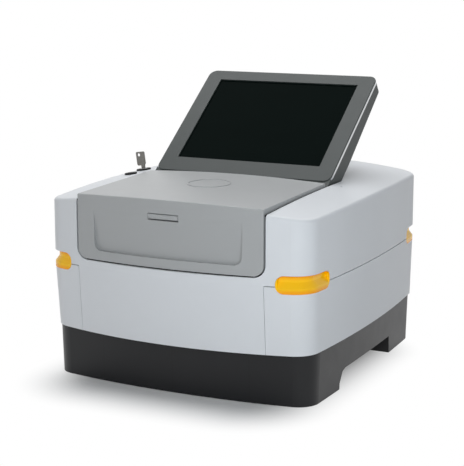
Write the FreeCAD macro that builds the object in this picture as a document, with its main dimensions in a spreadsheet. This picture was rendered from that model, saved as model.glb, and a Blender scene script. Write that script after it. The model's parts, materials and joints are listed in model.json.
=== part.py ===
import FreeCAD, Part
import Sketcher
import math
import os
import re

# Bench x-ray fluorescence spectrometer, in millimetres.
# The origin is on the floor under the middle of the instrument: +X right, +Y back, +Z up.

Vector = FreeCAD.Vector
Rotation = FreeCAD.Rotation

sizes = {
    # body outline at the seam: a bowed front, gently bowed sides and a flat back
    "frontReach": 250,
    "frontRadius": 655,
    "sideReach": 219.6,
    "sideRadius": 2100,
    "sideCentre": -35,
    "rearReach": 250,
    "frontCorner": 38,
    "rearCorner": 40,
    "skirtFrontDraft": 7.5,
    "skirtSideDraft": 2.5,
    "shellWall": 4,
    # heights
    "footProud": 1,
    "plinthTop": 76.5,
    "seamHeight": 176.5,
    "seamGap": 1.2,
    "domeTop": 294,
    "domeCrossRadius": 1300,
    "domeLongRadius": 4125,
    "domeCentre": 52,
    "domeEdge": 5,
    # plinth and its cable tunnel
    "plinthFrontInset": 26,
    "plinthFrontRadius": 1230,
    "plinthSideInset": 6.6,
    "plinthSideRadius": 4800,
    "plinthSideCentre": -120,
    "plinthRearInset": 12,
    "plinthCorner": 34,
    "plinthDraft": 2,
    "plinthWall": 4,
    "tunnelFront": -101,
    "tunnelRear": 115,
    "tunnelHeight": 28,
    "tunnelLean": 10,
    "footPadRadius": 14,
    "footPadDepth": 3,
    "footPadX": 160,
    "footPadFront": -165,
    "footPadRear": 190,
    # chassis
    "plateThick": 3,
    "fitGap": 0.3,
    # lid
    "lidHalf": 150,
    "lidInset": 17.5,
    "lidBow": 810,
    "lidBottom": 189,
    "lidFrontTop": 283,
    "lidSlope": 1.7,
    "lidRear": -21,
    "lidCrown": 2500,
    "lidWall": 3.5,
    "lidGap": 3,
    "lidCorner": 15,
    "lidEdge": 2,
    "scoopHalf": 119.5,
    "scoopBottom": 202.6,
    "scoopTop": 262,
    "scoopDepth": 6.5,
    "scoopCorner": 12,
    "slotHalf": 24.6,
    "slotBottom": 257,
    "slotTop": 267,
    "slotDepth": 8.4,
    "slotPlay": 0.8,
    "paddleAxleIn": 4.6,
    "paddleAxleDrop": 2.6,
    "tongueHalf": 5,
    "tongueReach": 16,
    "lidPivotY": -27,
    "lidPivotZ": 285.2,
    "cheekDrop": 27,
    "cheekFoot": 34,
    # well that the lid closes
    "wellFloor": 187,
    "wellWall": 4,
    "wellRear": -16.5,
    "wellRearTop": 264,
    "windowHalf": 112,
    "windowFront": -206,
    "windowRear": -42,
    "hingeX": 66,
    "hingeWidth": 8,
    "hingePin": 2,
    "knuckle": 3.2,
    "linerTop": 279.5,
    "linerInset": 15.5,
    "sheetThick": 1.5,
    "bossRadius": 3,
    "catchX": 90,
    "paddleThick": 3,
    "paddleReveal": 2.2,
    "paddlePin": 1.2,
    # touch screen, in its own leaning frame
    "screenSlope": 36.6,
    "screenFootY": -7.4,
    "screenFootZ": 287.7,
    "screenHeight": 244,
    "screenCorner": 13,
    "bezelThick": 6,
    "bezelFace": 1.8,
    "bezelEdge": 1,
    "bezelLow": 3.5,
    "footRise": 6.5,
    "trimThick": 1.6,
    "shellTopThick": 24,
    "shellLowThick": 33,
    "shellKnee": 76,
    "viewWidth": 246,
    "viewHeight": 188,
    "viewBottom": 34,
    "glassThick": 1.5,
    "screenPivotY": 0,
    "screenPivotZ": 280,
    "troughDepth": 254,
    "screenPinHold": 16,
    # corner lamps
    "lampSideWrap": 53.6,
    "lampFrontWrap": 95,
    "lampRearWrap": 73,
    "lampBottom": 166,
    "lampTop": 191.5,
    "lampLip": 174,
    "lampStep": 182,
    "lampRecess": 6,
    "lampThick": 12,
    "lampCorner": 11.5,
    "lampRim": 2.5,
    # button and key switch on the left deck
    "leanAngle": 8.5,
    "discLift": 0.25,
    "buttonX": -190,
    "buttonY": -15,
    "lockX": -196.5,
    "lockY": 37,
    "discRadius": 10,
    "lockDisc": 11.8,
    "discProud": 2.6,
    "barrelRadius": 8,
    "barrelLength": 22,
    "capRadius": 6,
    "capTravel": 2.5,
    "plugRadius": 6,
    "runningGap": 0.05,
    "keyThick": 2,
    "keyWidth": 6.5,
    "keyBowLeft": 10.3,
    "keyBowRight": 5.2,
    "keyBowHeight": 22.5,
    "keyStem": 5,
    "keyShoulder": 3,
    "keyRound": 2,
    "keyHole": 2.6,
    "keyHoleInset": 5,
    "keyDepth": 18,
    # sample spinner under the lid
    "sampleY": -130,
    "linerWall": 2,
    "linerSideInset": 10,
    "spinnerBottom": 190,
    "spinnerTop": 198,
    "gearModule": 1.5,
    "spinnerTeeth": 60,
    "pinionTeeth": 15,
    "backlash": 0.12,
    "cupRadius": 26.2,
    "cupLipRadius": 22,
    "bearingInner": 31,
    "bearingOuter": 39,
    "shaftRadius": 3,
    # measuring head
    "headHalf": 45,
    "headFront": -165,
    "headRear": -95,
    "headBottom": 163,
    "beamRadius": 8,
    "tubeRadius": 22,
    "tubeTop": 150,
    "wheelRadius": 48,
    "filterOffset": 38,
    "wheelBottom": 153,
    "wheelThick": 3,
    "filterRadius": 8,
    "shutterPivotY": -178,
    "shutterBottom": 158.5,
    "shutterThick": 1.5,
    "detectorNose": 6,
    "detectorRadius": 13,
    "detectorTilt": 45,
    "detectorStart": 20,
    "detectorLength": 100,
    # fan and rear panel
    "rearPanelGap": 3,
    "rearPanelThick": 3,
    "fanX": -85,
    "fanZ": 126,
    "fanHalf": 40,
    "fanDepth": 25,
    "fanBladeRadius": 35,
    "fanHub": 14,
    "fanAxle": 2,
    "fanBoltInset": 4,
    "boltHole": 2,
    "panelBoltInset": 8,
    "panelSideGap": 0.6,
    "inletX": 95,
    "inletZ": 112,
    "inletHalf": 14,
    "inletRise": 10,
    "inletFlange": 3,
    "switchRise": 24,
    "switchHalf": 11,
    "switchTall": 7,
    "rockerTilt": 8,
    "rockerPivot": 3,
    "rockerPin": 1.2,
    "portFirst": -20,
    "portPitch": 22,
    "portWidth": 15.4,
    "portTall": 7,
    # electronics on the chassis plate
    "generatorLeft": -192,
    "generatorFront": -90,
    "generatorWidth": 90,
    "generatorDepth": 140,
    "generatorHeight": 78,
    "coolerPitch": 18,
    "coolerSlot": 9,
    "coolerDepth": 4,
    "cablePostRadius": 6,
    "supplyLeft": 102,
    "supplyFront": -60,
    "supplyWidth": 90,
    "supplyDepth": 170,
    "supplyHeight": 46,
    "ventPitch": 19,
    "ventWidth": 7,
    "ventDepth": 2,
    "boardLeft": -80,
    "boardFront": 60,
    "boardWidth": 150,
    "boardDepth": 140,
    "boardThick": 1.6,
    "boardLift": 10,
    "standoffRadius": 3,
    "standoffInset": 6,
}

# places that follow from the sizes above
derived = {
    "plinthFront": "=frontReach - plinthFrontInset",
    "plinthHalfWidth": "=sideReach - plinthSideInset",
    "plinthRear": "=rearReach - plinthRearInset",
    "apronHalf": "=lidHalf",
    "lidSide": "=lidInset - frontReach",
    "linerFront": "=lidSide + linerInset",
    "linerHalf": "=lidHalf - linerSideInset",
    "chamberHalf": "=lidHalf - lidCorner - 0.5",
    "screenWidth": "=2 * lidHalf",
    "lampEnd": "=sideReach - lampSideWrap",
    "lampFrontEnd": "=lampFrontWrap - frontReach",
    "lampRearStart": "=rearReach - lampRearWrap",
}

doc = FreeCAD.newDocument("Spectrometer")
sheet = doc.addObject("Spreadsheet::Sheet", "Sizes")
for row, (name, entry) in enumerate({**sizes, **derived}.items(), start=1):
    sheet.set("A%d" % row, name)
    sheet.set("B%d" % row, str(entry))
    sheet.setAlias("B%d" % row, name)
doc.recompute()

nodes = {}
sizeWord = re.compile(r"\b(%s)\b" % "|".join([*sizes, *derived]))


def full(expression):
    """The expression with each size read from the sheet."""
    return sizeWord.sub(r"Sizes.\1", expression)


def value(expression):
    return float(sheet.evalExpression(full(expression)))


def bind(thing, **expressions):
    for prop, expression in expressions.items():
        thing.setExpression(prop.replace("__", "."), full(expression))
    return thing


def place(thing, x="0", y="0", z="0", axis=None, angle="0"):
    """Place a thing by expressions, turned about one axis where one is given."""
    if axis is not None:
        thing.Placement = FreeCAD.Placement(Vector(0, 0, 0), Rotation(Vector(*axis), 1))
        bind(thing, Placement__Rotation__Angle=angle)
    bind(thing, Placement__Base__x=x, Placement__Base__y=y, Placement__Base__z=z)
    return thing


def keep(name, thing):
    thing.Label = name
    nodes[name] = thing
    return thing


def newBody(name):
    body = doc.addObject("PartDesign::Body", name)
    body.Label = name
    return body


def originPlane(body, role):
    return next(item for item in body.Origin.OriginFeatures if item.Role == role)


def sketchOn(body, role, offset="0", rise="0", tilt=None):
    """A sketch on one of the body's own planes, pushed along the normal by offset."""
    sketch = body.newObject("Sketcher::SketchObject", body.Name + "_sketch")
    sketch.AttachmentSupport = (originPlane(body, role), [""])
    sketch.MapMode = "FlatFace"
    if tilt is not None:
        sketch.AttachmentOffset = FreeCAD.Placement(Vector(0, 0, 0), Rotation(Vector(1, 0, 0), 1))
        bind(sketch, AttachmentOffset__Rotation__Angle=tilt)
    bind(sketch, AttachmentOffset__Base__z=offset, AttachmentOffset__Base__y=rise)
    return sketch


def pin(sketch, kind, geometry, point, expression):
    constraint = Sketcher.Constraint(kind, -1, 1, geometry, point, value(expression))
    index = sketch.addConstraint(constraint)
    sketch.setExpression("Constraints[%d]" % index, full(expression))


def radius(sketch, geometry, expression):
    index = sketch.addConstraint(Sketcher.Constraint("Radius", geometry, value(expression)))
    sketch.setExpression("Constraints[%d]" % index, full(expression))


def arcBetween(start, end, size, bulge):
    """The shorter arc between two corners, drawn counter-clockwise round its own centre: one that
    bulges out runs from start to end, one that bulges in runs from end to start."""
    if bulge == "in":
        start, end = end, start
    along = end - start
    half = along.Length / 2
    side = Vector(-along.y, along.x, 0).normalize()
    centre = (start + end) * 0.5 + side * math.sqrt(max(size * size - half * half, 0))
    first = math.atan2(start.y - centre.y, start.x - centre.x)
    last = math.atan2(end.y - centre.y, end.x - centre.x)
    return Part.ArcOfCircle(Part.Circle(centre, Vector(0, 0, 1), size), first, last)


def profile(sketch, corners):
    """A closed outline, counter-clockwise. A corner is (x, y) or (x, y, bulge, radius of the
    arc to the next corner)."""
    first = sketch.GeometryCount
    spots = [Vector(value(corner[0]), value(corner[1]), 0) for corner in corners]
    count = len(corners)
    for i, corner in enumerate(corners):
        start, end = spots[i], spots[(i + 1) % count]
        if len(corner) == 4:
            sketch.addGeometry(arcBetween(start, end, value(corner[3]), corner[2]), False)
        else:
            sketch.addGeometry(Part.LineSegment(start, end), False)
    ends = [(2, 1) if len(corner) == 4 and corner[2] == "in" else (1, 2) for corner in corners]
    for i, corner in enumerate(corners):
        after = (i + 1) % count
        sketch.addConstraint(Sketcher.Constraint(
            "Coincident", first + i, ends[i][1], first + after, ends[after][0]))
    for i, corner in enumerate(corners):
        pin(sketch, "DistanceX", first + i, ends[i][0], corner[0])
        pin(sketch, "DistanceY", first + i, ends[i][0], corner[1])
        if len(corner) == 4:
            radius(sketch, first + i, corner[3])
    return sketch


def circle(sketch, x, y, size):
    centre = Vector(value(x), value(y), 0)
    index = sketch.addGeometry(Part.Circle(centre, Vector(0, 0, 1), value(size)), False)
    pin(sketch, "DistanceX", index, 3, x)
    pin(sketch, "DistanceY", index, 3, y)
    radius(sketch, index, size)
    return sketch


def box(sketch, left, low, right, high):
    return profile(sketch, [(left, low), (right, low), (right, high), (left, high)])


def roundBox(sketch, left, low, right, high, corner):
    """A rectangle with its corners rounded."""
    l, b, r, t, c = ["(%s)" % word for word in (left, low, right, high, corner)]
    return profile(sketch, [
        (l + "+" + c, b), (r + "-" + c, b, "out", c),
        (r, b + "+" + c), (r, t + "-" + c, "out", c),
        (r + "-" + c, t), (l + "+" + c, t, "out", c),
        (l, t + "-" + c), (l, b + "+" + c, "out", c)])


def feature(body, kind, sketch, **settings):
    made = body.newObject("PartDesign::" + kind, body.Name + "_" + kind.lower())
    made.Profile = sketch
    for prop, setting in settings.items():
        if isinstance(setting, str) and prop in ("Length", "Length2", "Angle"):
            bind(made, **{prop: setting})
        else:
            setattr(made, prop, setting)
    return made


def pad(body, sketch, length, **settings):
    return feature(body, "Pad", sketch, Length=length, **settings)


def pocket(body, sketch, length, **settings):
    """A pocket that has to take something away."""
    doc.recompute()
    before = body.Shape.Volume
    made = feature(body, "Pocket", sketch, Length=length, **settings)
    doc.recompute()
    if body.Shape.Volume > before - 1e-6:
        raise RuntimeError("pocket cuts nothing: " + made.Name)
    return made


def loft(body, lower, upper):
    made = body.newObject("PartDesign::AdditiveLoft", body.Name + "_loft")
    made.Profile = lower
    made.Sections = [upper]
    made.Ruled = True
    return made


def spin(body, sketch, kind="Revolution"):
    made = feature(body, kind, sketch, Angle="360")
    made.ReferenceAxis = (sketch, ["V_Axis"])
    return made


def edgesWhere(thing, test):
    return ["Edge%d" % (i + 1) for i, edge in enumerate(thing.Shape.Edges) if test(edge)]


def blend(body, size, test, kind="Fillet"):
    """A fillet or chamfer on the edges of the body that pass the test."""
    doc.recompute()
    base = body.Tip
    names = edgesWhere(base, test)
    made = body.newObject("PartDesign::" + kind, body.Name + "_" + kind.lower())
    made.Base = (base, names)
    bind(made, **{"Radius" if kind == "Fillet" else "Size": size})
    return made


def polar(body, original, count):
    made = body.newObject("PartDesign::PolarPattern", body.Name + "_pattern")
    made.Originals = [original]
    made.Axis = (next(i for i in body.Origin.OriginFeatures if i.Role == "Z_Axis"), [""])
    made.Angle = 360
    bind(made, Occurrences=count)
    body.Tip = made
    return made


def cut(name, base, tool):
    made = doc.addObject("Part::Cut", name)
    made.Base = base
    made.Tool = tool
    return made


def join(name, things):
    made = doc.addObject("Part::MultiFuse", name)
    made.Shapes = things
    return made


def overlap(name, base, tool):
    made = doc.addObject("Part::Common", name)
    made.Base = base
    made.Tool = tool
    return made


def group(name, things):
    made = doc.addObject("Part::Compound", name)
    made.Links = things
    return made


def block(name, x0, y0, z0, x1, y1, z1):
    """A box between two corners, each given by expressions."""
    made = doc.addObject("Part::Box", name)
    bind(made, Length="(%s)-(%s)" % (x1, x0), Width="(%s)-(%s)" % (y1, y0), Height="(%s)-(%s)" % (z1, z0))
    return place(made, x0, y0, z0)


def rod(name, size, length, x="0", y="0", z="0", axis=None, angle="0"):
    made = doc.addObject("Part::Cylinder", name)
    bind(made, Radius=size, Height=length)
    return place(made, x, y, z, axis, angle)


# body outline: front arc, sides and back, blended at the corners

def bodyOutline(sketch, inset="0", frontDraft="0", sideDraft="0"):
    """The instrument's plan outline, drawn in by an inset and by the skirt's draft."""
    front = value("frontReach - (%s) - (%s)" % (inset, frontDraft))
    side = value("sideReach - (%s) - (%s)" % (inset, sideDraft))
    rear = value("rearReach - (%s)" % inset)
    return outline(sketch, front, side, rear, {
        "front": "frontReach - (%s) - (%s)" % (inset, frontDraft),
        "side": "sideReach - (%s) - (%s)" % (inset, sideDraft),
        "rear": "rearReach - (%s)" % inset,
        "frontRadius": "frontRadius - (%s)" % inset,
        "sideRadius": "sideRadius - (%s)" % inset,
        "sideCentre": "sideCentre",
        "frontCorner": "frontCorner - (%s)" % inset,
        "rearCorner": "rearCorner - (%s)" % inset})


def plinthOutline(sketch, inset="0"):
    """The plinth's plan outline."""
    front = value("plinthFront - (%s)" % inset)
    side = value("plinthHalfWidth - (%s)" % inset)
    rear = value("plinthRear - (%s)" % inset)
    return outline(sketch, front, side, rear, {
        "front": "plinthFront - (%s)" % inset,
        "side": "plinthHalfWidth - (%s)" % inset,
        "rear": "plinthRear - (%s)" % inset,
        "frontRadius": "plinthFrontRadius - (%s)" % inset,
        "sideRadius": "plinthSideRadius - (%s)" % inset,
        "sideCentre": "plinthSideCentre",
        "frontCorner": "plinthCorner - (%s)" % inset,
        "rearCorner": "plinthCorner - (%s)" % inset})


def outline(sketch, front, side, rear, rules):
    """Eight tangent curves: front arc, corner, side arc, corner, back line and the mirror."""
    frontSize, sideSize = value(rules["frontRadius"]), value(rules["sideRadius"])
    middle = value(rules["sideCentre"])
    frontCorner, rearCorner = value(rules["frontCorner"]), value(rules["rearCorner"])
    frontHub = Vector(0, frontSize - front, 0)
    sideHub = Vector(side - sideSize, middle, 0)

    # hub of the front corner: inside both circles by its own radius
    near, far = frontSize - frontCorner, sideSize - frontCorner
    line = sideHub - frontHub
    reach = line.Length
    along = (near * near - far * far + reach * reach) / (2 * reach)
    off = math.sqrt(near * near - along * along)
    unit = line * (1 / reach)
    sides = [frontHub + unit * along + Vector(-unit.y, unit.x, 0) * off * way for way in (1, -1)]
    frontSpot = min(sides, key=lambda spot: spot.y)
    if frontSpot.x < 0:
        frontSpot = max(sides, key=lambda spot: spot.x)
    rearY = rear - rearCorner
    rearSpot = Vector(sideHub.x + math.sqrt((sideSize - rearCorner) ** 2 - (rearY - middle) ** 2), rearY, 0)

    onFront = frontHub + (frontSpot - frontHub).normalize() * frontSize
    onSideFront = sideHub + (frontSpot - sideHub).normalize() * sideSize
    onSideRear = sideHub + (rearSpot - sideHub).normalize() * sideSize
    onRear = Vector(rearSpot.x, rear, 0)

    def flip(spot):
        return Vector(-spot.x, spot.y, 0)

    spots = [flip(onFront), onFront, onSideFront, onSideRear, onRear, flip(onRear),
             flip(onSideRear), flip(onSideFront)]
    hubs = [frontHub, frontSpot, sideHub, rearSpot, None, flip(rearSpot), flip(sideHub), flip(frontSpot)]
    names = ["frontRadius", "frontCorner", "sideRadius", "rearCorner", None, "rearCorner",
             "sideRadius", "frontCorner"]
    for i in range(8):
        start, end = spots[i], spots[(i + 1) % 8]
        if hubs[i] is None:
            sketch.addGeometry(Part.LineSegment(start, end), False)
        else:
            size = value(rules[names[i]])
            first = math.atan2(start.y - hubs[i].y, start.x - hubs[i].x)
            last = math.atan2(end.y - hubs[i].y, end.x - hubs[i].x)
            ring = Part.Circle(hubs[i], Vector(0, 0, 1), size)
            sketch.addGeometry(Part.ArcOfCircle(ring, first, last), False)
    for i in range(8):
        sketch.addConstraint(Sketcher.Constraint("Tangent", i, 2, (i + 1) % 8, 1))
    for i in range(8):
        if hubs[i] is not None:
            radius(sketch, i, rules[names[i]])
    pin(sketch, "DistanceX", 0, 3, "0")
    pin(sketch, "DistanceY", 0, 3, "(%s) - (%s)" % (rules["frontRadius"], rules["front"]))
    pin(sketch, "DistanceX", 2, 3, "(%s) - (%s)" % (rules["side"], rules["sideRadius"]))
    pin(sketch, "DistanceY", 2, 3, rules["sideCentre"])
    pin(sketch, "DistanceX", 6, 3, "(%s) - (%s)" % (rules["sideRadius"], rules["side"]))
    pin(sketch, "DistanceY", 6, 3, rules["sideCentre"])
    pin(sketch, "DistanceY", 4, 1, rules["rear"])
    sketch.addConstraint(Sketcher.Constraint("Horizontal", 4))
    return sketch


def envelope(name, inset="0", low="seamHeight", high="domeTop + 20", drop="0", domed=True):
    """The upper body's outer form, or the same drawn in by an inset."""
    body = newBody(name)
    pad(body, bodyOutline(sketchOn(body, "XY_Plane", low), inset), "(%s) - (%s)" % (high, low))
    if domed:
        trimDome(body, drop)
    return body


def trimDome(body, drop="0"):
    sketch = sketchOn(body, "XZ_Plane", "-domeCentre", "domeTop - domeLongRadius")
    high = "domeLongRadius + 60"
    side = "sideReach + 30"
    fall = "(domeCrossRadius - sqrt(pow(domeCrossRadius; 2) - pow(%s; 2)))" % side
    edge = "domeLongRadius - (%s) - %s" % (drop, fall)
    profile(sketch, [
        ("-(%s)" % side, edge, "in", "domeCrossRadius"), (side, edge), (side, high), ("-(%s)" % side, high)])
    groove = feature(body, "Groove", sketch, Angle="14")
    groove.ReferenceAxis = (sketch, ["H_Axis"])
    groove.Midplane = True
    return groove


def skirt(name, inset="0", low="plinthTop", high="seamHeight"):
    """The drafted lower body between the plinth and the seam."""
    body = newBody(name)
    share = "((seamHeight - (%s)) / (seamHeight - plinthTop))"
    lower = bodyOutline(sketchOn(body, "XY_Plane", low), inset,
                        "skirtFrontDraft * " + share % low, "skirtSideDraft * " + share % low)
    upper = bodyOutline(sketchOn(body, "XY_Plane", high), inset,
                        "skirtFrontDraft * " + share % high, "skirtSideDraft * " + share % high)
    loft(body, lower, upper)
    return body


# plinth

def makePlinth():
    outer = newBody("plinth_form")
    foot = plinthOutline(sketchOn(outer, "XY_Plane", "footProud"), "plinthDraft")
    rim = plinthOutline(sketchOn(outer, "XY_Plane", "plinthTop"))
    loft(outer, foot, rim)
    tunnel = pocket(outer, profile(sketchOn(outer, "YZ_Plane"), [
        ("tunnelFront", "-1"), ("tunnelRear + 2", "-1"), ("tunnelRear - 2", "tunnelHeight + footProud"),
        ("tunnelFront + 2 * tunnelLean", "tunnelHeight + footProud"),
        ("tunnelFront + tunnelLean", "tunnelHeight + footProud - 3"), ("tunnelFront", "9 + footProud")]),
        "2 * plinthHalfWidth + 40", Midplane=True)
    for x in ("-footPadX", "footPadX"):
        for y in ("footPadFront", "footPadRear"):
            pocket(outer, circle(sketchOn(outer, "XY_Plane", "footProud"), x, y, "footPadRadius + fitGap"),
                   "footPadDepth", Reversed=True)
    bays = []
    floor = "footProud + footPadDepth + plinthWall"
    bridge = "footProud + tunnelHeight + plinthWall"
    fore, aft = "tunnelFront - plinthWall", "tunnelRear + 2 + plinthWall"
    for name, front, rear, low in (("front_bay", "-plinthFront - 5", fore, floor),
                                   ("middle_bay", fore, aft, bridge),
                                   ("rear_bay", aft, "plinthRear + 5", floor)):
        bays.append(block(name, "-plinthHalfWidth - 5", front, low,
                          "plinthHalfWidth + 5", rear, "plinthTop + 1"))
    core = newBody("plinth_core")
    plan = plinthOutline(sketchOn(core, "XY_Plane", "footProud"), "plinthWall + plinthDraft")
    pad(core, plan, "plinthTop + 5")
    hollow = overlap("plinth_hollow", core, join("plinth_bays", bays))
    keep("base_plinth", cut("base_plinth", outer, hollow))

    pads = []
    for x in ("-footPadX", "footPadX"):
        for y in ("footPadFront", "footPadRear"):
            pads.append(rod("foot_pad", "footPadRadius", "footPadDepth + footProud", x, y))
    keep("rubber_feet", group("rubber_feet", pads))


def makeChassisPlate():
    body = newBody("chassis_plate")
    plan = bodyOutline(sketchOn(body, "XY_Plane", "plinthTop"), "shellWall + fitGap",
                       "skirtFrontDraft", "skirtSideDraft")
    pad(body, plan, "plateThick")
    keep("chassis_plate", body)


# white shells

def lampWindow(name, side, end, gap="0", rise=None):
    """The stretch of the body's corner that one lamp takes up; side is 1 right or -1 left. The
    rise is how far it goes over the lamp's top, where that isn't the gap."""
    window = newBody(name)
    wide = "(sideReach + 30 - lampEnd + (%s))" % gap
    low, high = "lampBottom - (%s)" % gap, "lampTop + (%s)" % (rise or gap)
    near = "lampEnd - (%s)" % gap
    inner, outer = (near, near + " + " + wide) if side > 0 else ("-(%s) - %s" % (near, wide), "-(%s)" % near)
    if end == "front":
        first, last = "-frontReach - 20", "lampFrontEnd + (%s)" % gap
    else:
        first, last = "lampRearStart - (%s)" % gap, "rearReach + 20"
    plan = box(sketchOn(window, "XY_Plane", low), inner, first, outer, last)
    pad(window, plan, "(%s) - (%s)" % (high, low))
    levels = (value(low), value(high))
    inside = value(inner) if side > 0 else value(outer)
    stop = value(last) if end == "front" else value(first)

    def isEnd(edge):
        middle = edge.CenterOfMass
        level = min(abs(middle.z - height) for height in levels) < 0.01
        return level and (abs(middle.x - inside) < 0.01 or abs(middle.y - stop) < 0.01)

    blend(window, "lampCorner + (%s)" % gap, isEnd)
    return window


def ring(name, outerInset, innerInset, low, high):
    """A band of the body's outline between two insets and two heights."""
    body = newBody(name)
    pad(body, bodyOutline(sketchOn(body, "XY_Plane", low), outerInset), "(%s) - (%s)" % (high, low))
    pocket(body, bodyOutline(sketchOn(body, "XY_Plane", low), innerInset), "(%s) - (%s)" % (high, low),
           Reversed=True)
    return body


lampPlaces = [("lamp_front_left", -1, "front"), ("lamp_front_right", 1, "front"),
              ("lamp_rear_left", -1, "rear"), ("lamp_rear_right", 1, "rear")]


def lampPockets():
    """The four corner pockets that the lenses sit in."""
    band = ring("lamp_seat_band", "-3", "lampThick + fitGap", "lampBottom - 2", "lampTop + 2")
    windows = [lampWindow(lamp + "_pocket", side, end, "fitGap") for lamp, side, end in lampPlaces]
    return overlap("lamp_seats", band, join("lamp_seat_windows", windows))


lampSeats = lampPockets()


def lidBlank(name, side="0", front="0", top="0", low="lidBottom", back="lidRear"):
    """The lid's outer form, or the same drawn in at its sides, front and top."""
    body = newBody(name)
    half = "(lidHalf - (%s))" % side
    bow = "(lidBow - (%s))" % front
    middle = "(lidSide + sqrt(pow(lidBow; 2) - pow(lidHalf; 2)))"
    edge = "%s - sqrt(pow(%s; 2) - pow(%s; 2))" % (middle, bow, half)
    pad(body, profile(sketchOn(body, "XY_Plane", low), [
        ("-" + half, edge, "out", bow), (half, edge), (half, back), ("-" + half, back)]),
        "lidFrontTop + 40 - (%s)" % low)
    crown = "(lidCrown - (%s))" % top
    rise = "(lidFrontTop - (%s)) * cos(lidSlope)" % top
    rim = "%s + sqrt(pow(%s; 2) - pow(lidHalf + 20; 2))" % (rise, crown)
    rim += " - sqrt(pow(%s; 2) - pow(lidHalf; 2))" % crown
    sky = sketchOn(body, "XZ_Plane", "-lidSide", "0", "lidSlope")
    profile(sky, [("-lidHalf - 20", rim, "in", crown), ("lidHalf + 20", rim),
                  ("lidHalf + 20", rim + " + 90"), ("-lidHalf - 20", rim + " + 90")])
    pocket(body, sky, "1200", Midplane=True)
    return body


def wellTool():
    """What the lid's well takes out of the housing: open at the front and at the top."""
    body = newBody("well_tool")
    half = "(lidHalf + lidGap)"
    plan = box(sketchOn(body, "XY_Plane", "wellFloor"), "-" + half, "-frontReach - 20", half, "wellRear")
    pad(body, plan, "140")
    floor = value("wellFloor")
    blend(body, "lidCorner + lidGap", lambda edge: abs(edge.CenterOfMass.z - floor) < 0.01
          and abs(edge.CenterOfMass.x) > 10)
    return body


def troughTool():
    """The slot behind the lid where the screen's foot turns; its back is the screen's rest."""
    body = newBody("trough_tool")
    half = "screenWidth / 2 + lidGap"
    run = "sin(screenSlope)"
    lean = "cos(screenSlope)"
    restY = "(screenFootY + (shellLowThick + fitGap) * %s)" % run
    restZ = "(screenFootZ - (shellLowThick + fitGap) * %s)" % lean
    top = "(domeTop + 30)"
    pad(body, profile(sketchOn(body, "YZ_Plane", "-(%s)" % half), [
        ("wellRear + wellWall", "screenPivotZ - 18.5"), ("wellRear + wellWall + 6", "troughDepth + 3"),
        (restY + " - 1", "troughDepth + 3"), (restY, restZ),
        ("%s + (%s - %s) * %s / %s" % (restY, top, restZ, lean, run), top), ("wellRear + wellWall", top)]),
        "2 * (%s)" % half)
    lip = newBody("trough_lip")
    pad(lip, box(sketchOn(lip, "XY_Plane", "wellRearTop"), "-(%s)" % half, "wellRear - 1", half,
                 "wellRear + wellWall + 1"), "80")
    return join("trough_cut", [body, lip])


def tub(name):
    """The solid that the well's walls and floor are left in."""
    half = "lidHalf + lidGap + wellWall"
    return block(name, "-(%s)" % half, "-frontReach - 20", "wellFloor - wellWall",
                 half, "wellRear + wellWall", "domeTop + 20")


def troughShell():
    """The solid that the trough's walls are left in."""
    body = newBody("trough_shell")
    half = "screenWidth / 2 + lidGap + wellWall"
    run = "sin(screenSlope)"
    lean = "cos(screenSlope)"
    restY = "(screenFootY + (shellLowThick + fitGap + wellWall) * %s)" % run
    restZ = "(screenFootZ - (shellLowThick + fitGap + wellWall) * %s)" % lean
    top = "(domeTop + 30)"
    pad(body, profile(sketchOn(body, "YZ_Plane", "-(%s)" % half), [
        ("wellRear", "troughDepth - 1"), (restY, "troughDepth - 1"), (restY, restZ),
        ("%s + (%s - %s) * %s / %s" % (restY, top, restZ, lean, run), top), ("wellRear", top)]),
        "2 * (%s)" % half)
    return body


def makeHousing():
    top = envelope("housing_form")
    rounded = value("seamHeight") + 40
    blend(top, "domeEdge", lambda edge: edge.BoundBox.ZMin > rounded)
    apron = skirt("apron_form")
    apronSlab = block("apron_slab", "-apronHalf", "-frontReach - 5", "plinthTop",
                      "apronHalf", "-frontReach + 60", "seamHeight")
    outer = join("housing_outer", [top, overlap("apron_outer", apron, apronSlab)])
    core = envelope("housing_core", "shellWall", "seamHeight", "domeTop + 20", "shellWall")
    apronCore = skirt("apron_core", "shellWall")
    kept = join("well_and_trough", [tub("tub"), troughShell()])
    deep = join("core", [core, apronCore])
    hollow = cut("housing_hollow", deep, kept)
    tools = [hollow, wellTool(), troughTool(), lampSeats]
    tools.append(block("head_window", "-windowHalf", "windowFront", "wellFloor - wellWall - 1",
                       "windowHalf", "windowRear", "wellFloor + 1"))
    for name, x, y in (("button_hole", "buttonX", "buttonY"),
                       ("lock_hole", "lockX", "lockY")):
        tools.append(deckRod(name, "barrelRadius + fitGap", "-40", "60", x, y))
    tools.append(rod("screen_pin_holes", "shaftRadius + runningGap", "screenWidth + 40",
                     "-screenWidth / 2 - 20", "screenPivotY", "screenPivotZ", (0, 1, 0), "90"))
    keep("upper_housing", cut("upper_housing", outer, join("housing_tools", tools)))


def deckHeight(x, y):
    """The white deck's height at a point."""
    return ("(domeTop - (domeLongRadius - sqrt(pow(domeLongRadius; 2) - pow(%s - domeCentre; 2)))"
            " - (domeCrossRadius - sqrt(pow(domeCrossRadius; 2) - pow(%s; 2))))" % (y, x))


def onDeck(thing, x, y, lift="0"):
    """Stand a thing on the left deck, square to its slope, lifted along that slope's normal."""
    return place(thing, "%s - (%s) * sin(leanAngle)" % (x, lift), y,
                 "%s + (%s) * cos(leanAngle)" % (deckHeight(x, y), lift), (0, 1, 0), "-leanAngle")


def deckRod(name, size, low, length, x, y):
    made = doc.addObject("Part::Cylinder", name)
    bind(made, Radius=size, Height=length)
    return onDeck(made, x, y, low)


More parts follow.
